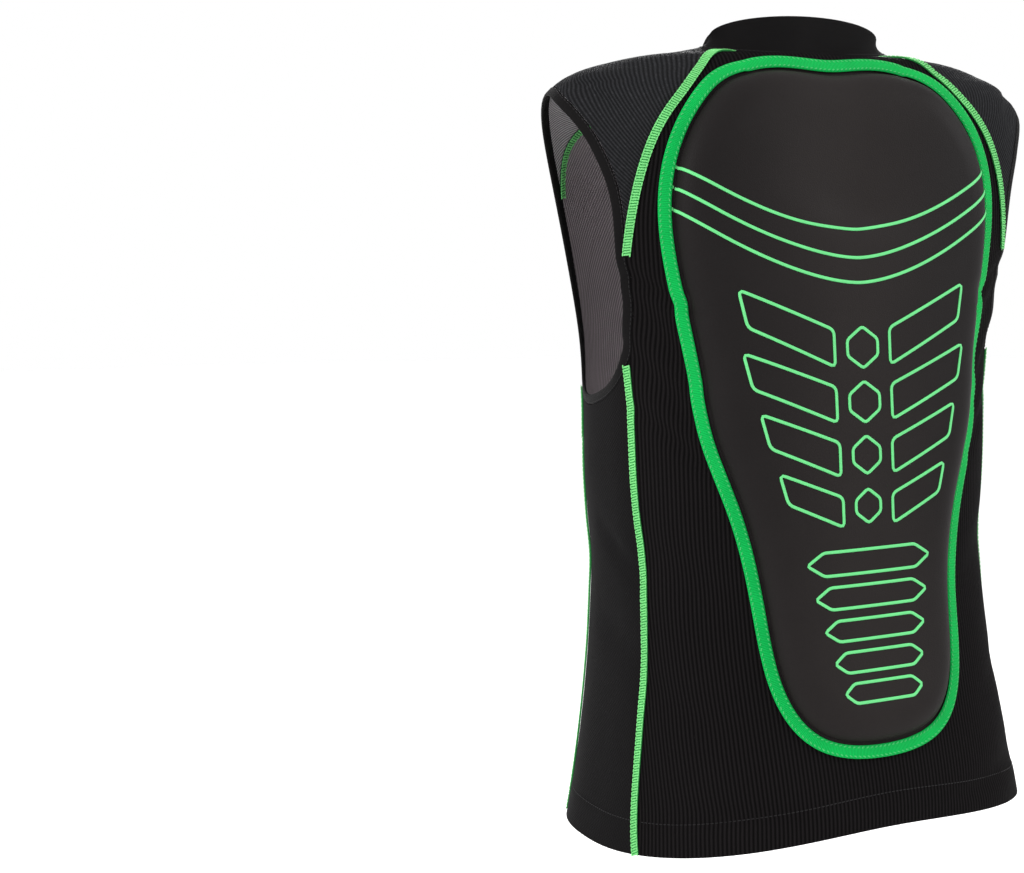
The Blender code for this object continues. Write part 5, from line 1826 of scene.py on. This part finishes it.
class VEST_OT_stage(bpy.types.Operator):
    """Make the pale floor, the soft studio light and the camera"""

    bl_idname = "vest.stage"
    bl_label = "Stage"

    def execute(self, context):
        self.floor()
        self.lights()
        self.camera()
        return {"FINISHED"}

    def floor(self):
        """A round floor: rings of quads about a centre, well below the hem."""
        turn = np.arange(FLOOR_SIDES) * 2 * np.pi / FLOOR_SIDES
        radius = np.array([12.0, 6.0, 3.0, 1.5, 0.0])
        places = np.stack([np.cos(turn), np.sin(turn), np.zeros(FLOOR_SIDES)], -1)
        outer = places[None] * radius[:, None, None] + (0, 0, FLOOR_LEVEL)
        index = np.arange(outer.shape[0] * FLOOR_SIDES).reshape(-1, FLOOR_SIDES)
        index = np.concatenate([index, index[:, :1]], 1)
        mesh = bpy.data.meshes.new("studio_floor")
        mesh.from_pydata(outer.reshape(-1, 3).tolist(), [], skin_quads(index).tolist())
        made = bpy.data.objects.new("studio_floor", mesh)
        mesh.materials.append(material("floor_paint"))
        edit = bmesh.new()
        edit.from_mesh(mesh)
        bmesh.ops.remove_doubles(edit, verts=edit.verts, dist=1e-5)
        bmesh.ops.dissolve_degenerate(edit, edges=edit.edges, dist=1e-7)
        bmesh.ops.recalc_face_normals(edit, faces=edit.faces)
        edit.to_mesh(mesh)
        edit.free()
        bpy.context.scene.collection.objects.link(made)

    def lights(self):
        """A soft area at each side behind, one in front, a weak wide sun and a white world."""
        sun = bpy.data.lights.new("window", "SUN")
        sun.energy = 0.5
        sun.angle = np.radians(50)
        made = bpy.data.objects.new("window", sun)
        made.rotation_euler = Vector((-0.25, -0.15, -1.0)).to_track_quat("-Z", "Y").to_euler()
        bpy.context.scene.collection.objects.link(made)
        for name, (place, power, width) in AREAS.items():
            light = bpy.data.lights.new(name, "AREA")
            light.energy = power
            light.size = width
            made = bpy.data.objects.new(name, light)
            made.location = place
            aim = Vector(AIM) - Vector(place)
            made.rotation_euler = aim.to_track_quat("-Z", "Y").to_euler()
            bpy.context.scene.collection.objects.link(made)
        world = bpy.data.worlds.new("studio")
        world.use_nodes = True
        backdrop = world.node_tree.nodes["Background"].inputs
        backdrop["Color"].default_value = (1, 1, 1, 1)
        backdrop["Strength"].default_value = 1.0
        bpy.context.scene.world = world
        bpy.context.scene.view_settings.view_transform = "Standard"

    def camera(self):
        """The photograph's view of the back, three quarters from the wearer's left."""
        data = bpy.data.cameras.new("photo_view")
        data.lens = 70.1
        data.sensor_width = 36.0
        data.shift_x = -0.2758
        data.shift_y = 0.0411
        data.clip_end = 60
        made = bpy.data.objects.new("photo_view", data)
        made.location = CAMERA_PLACE
        level = Vector((-CAMERA_PLACE[0], -CAMERA_PLACE[1], 0)).normalized()
        pitch = np.radians(CAMERA_PITCH)
        aim = level * np.cos(pitch) + Vector((0, 0, np.sin(pitch)))
        made.rotation_euler = aim.to_track_quat("-Z", "Y").to_euler()
        bpy.context.scene.collection.objects.link(made)
        bpy.context.scene.camera = made


OPERATORS = (VEST_OT_body_cloth, VEST_OT_pad, VEST_OT_pocket, VEST_OT_collar, VEST_OT_arm_bindings,
             VEST_OT_seams, VEST_OT_stitching, VEST_OT_zip, VEST_OT_label, VEST_OT_slider,
             VEST_OT_stage)


class VEST_PT_panel(bpy.types.Panel):
    """The vest's sizes, colours and pieces in the sidebar"""

    bl_idname = "VEST_PT_panel"
    bl_label = "Back protector vest"
    bl_space_type = "VIEW_3D"
    bl_region_type = "UI"
    bl_category = "Vest"

    def draw(self, context):
        for settings in (context.scene.vest_sizes, context.scene.vest_colours):
            box = self.layout.box()
            for name in settings.bl_rna.properties.keys():
                if name not in ("rna_type", "name"):
                    box.prop(settings, name)
        for operator in OPERATORS:
            self.layout.operator(operator.bl_idname)


CLASSES = (VestSizes, VestColours, *OPERATORS, VEST_PT_panel)


def register():
    """Register the classes and hang the settings on the scene."""
    for each in CLASSES:
        bpy.utils.register_class(each)
    bpy.types.Scene.vest_sizes = bpy.props.PointerProperty(type=VestSizes)
    bpy.types.Scene.vest_colours = bpy.props.PointerProperty(type=VestColours)


def unregister():
    """Take the settings and classes away again."""
    del bpy.types.Scene.vest_colours
    del bpy.types.Scene.vest_sizes
    for each in reversed(CLASSES):
        bpy.utils.unregister_class(each)


def main():
    """Make every piece in order."""
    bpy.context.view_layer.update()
    register()
    for operator in OPERATORS:
        group, name = operator.bl_idname.split(".")
        result = getattr(getattr(bpy.ops, group), name)()
        if result != {"FINISHED"}:
            raise RuntimeError("not finished: " + operator.bl_idname)


if __name__ == "__main__":
    main()
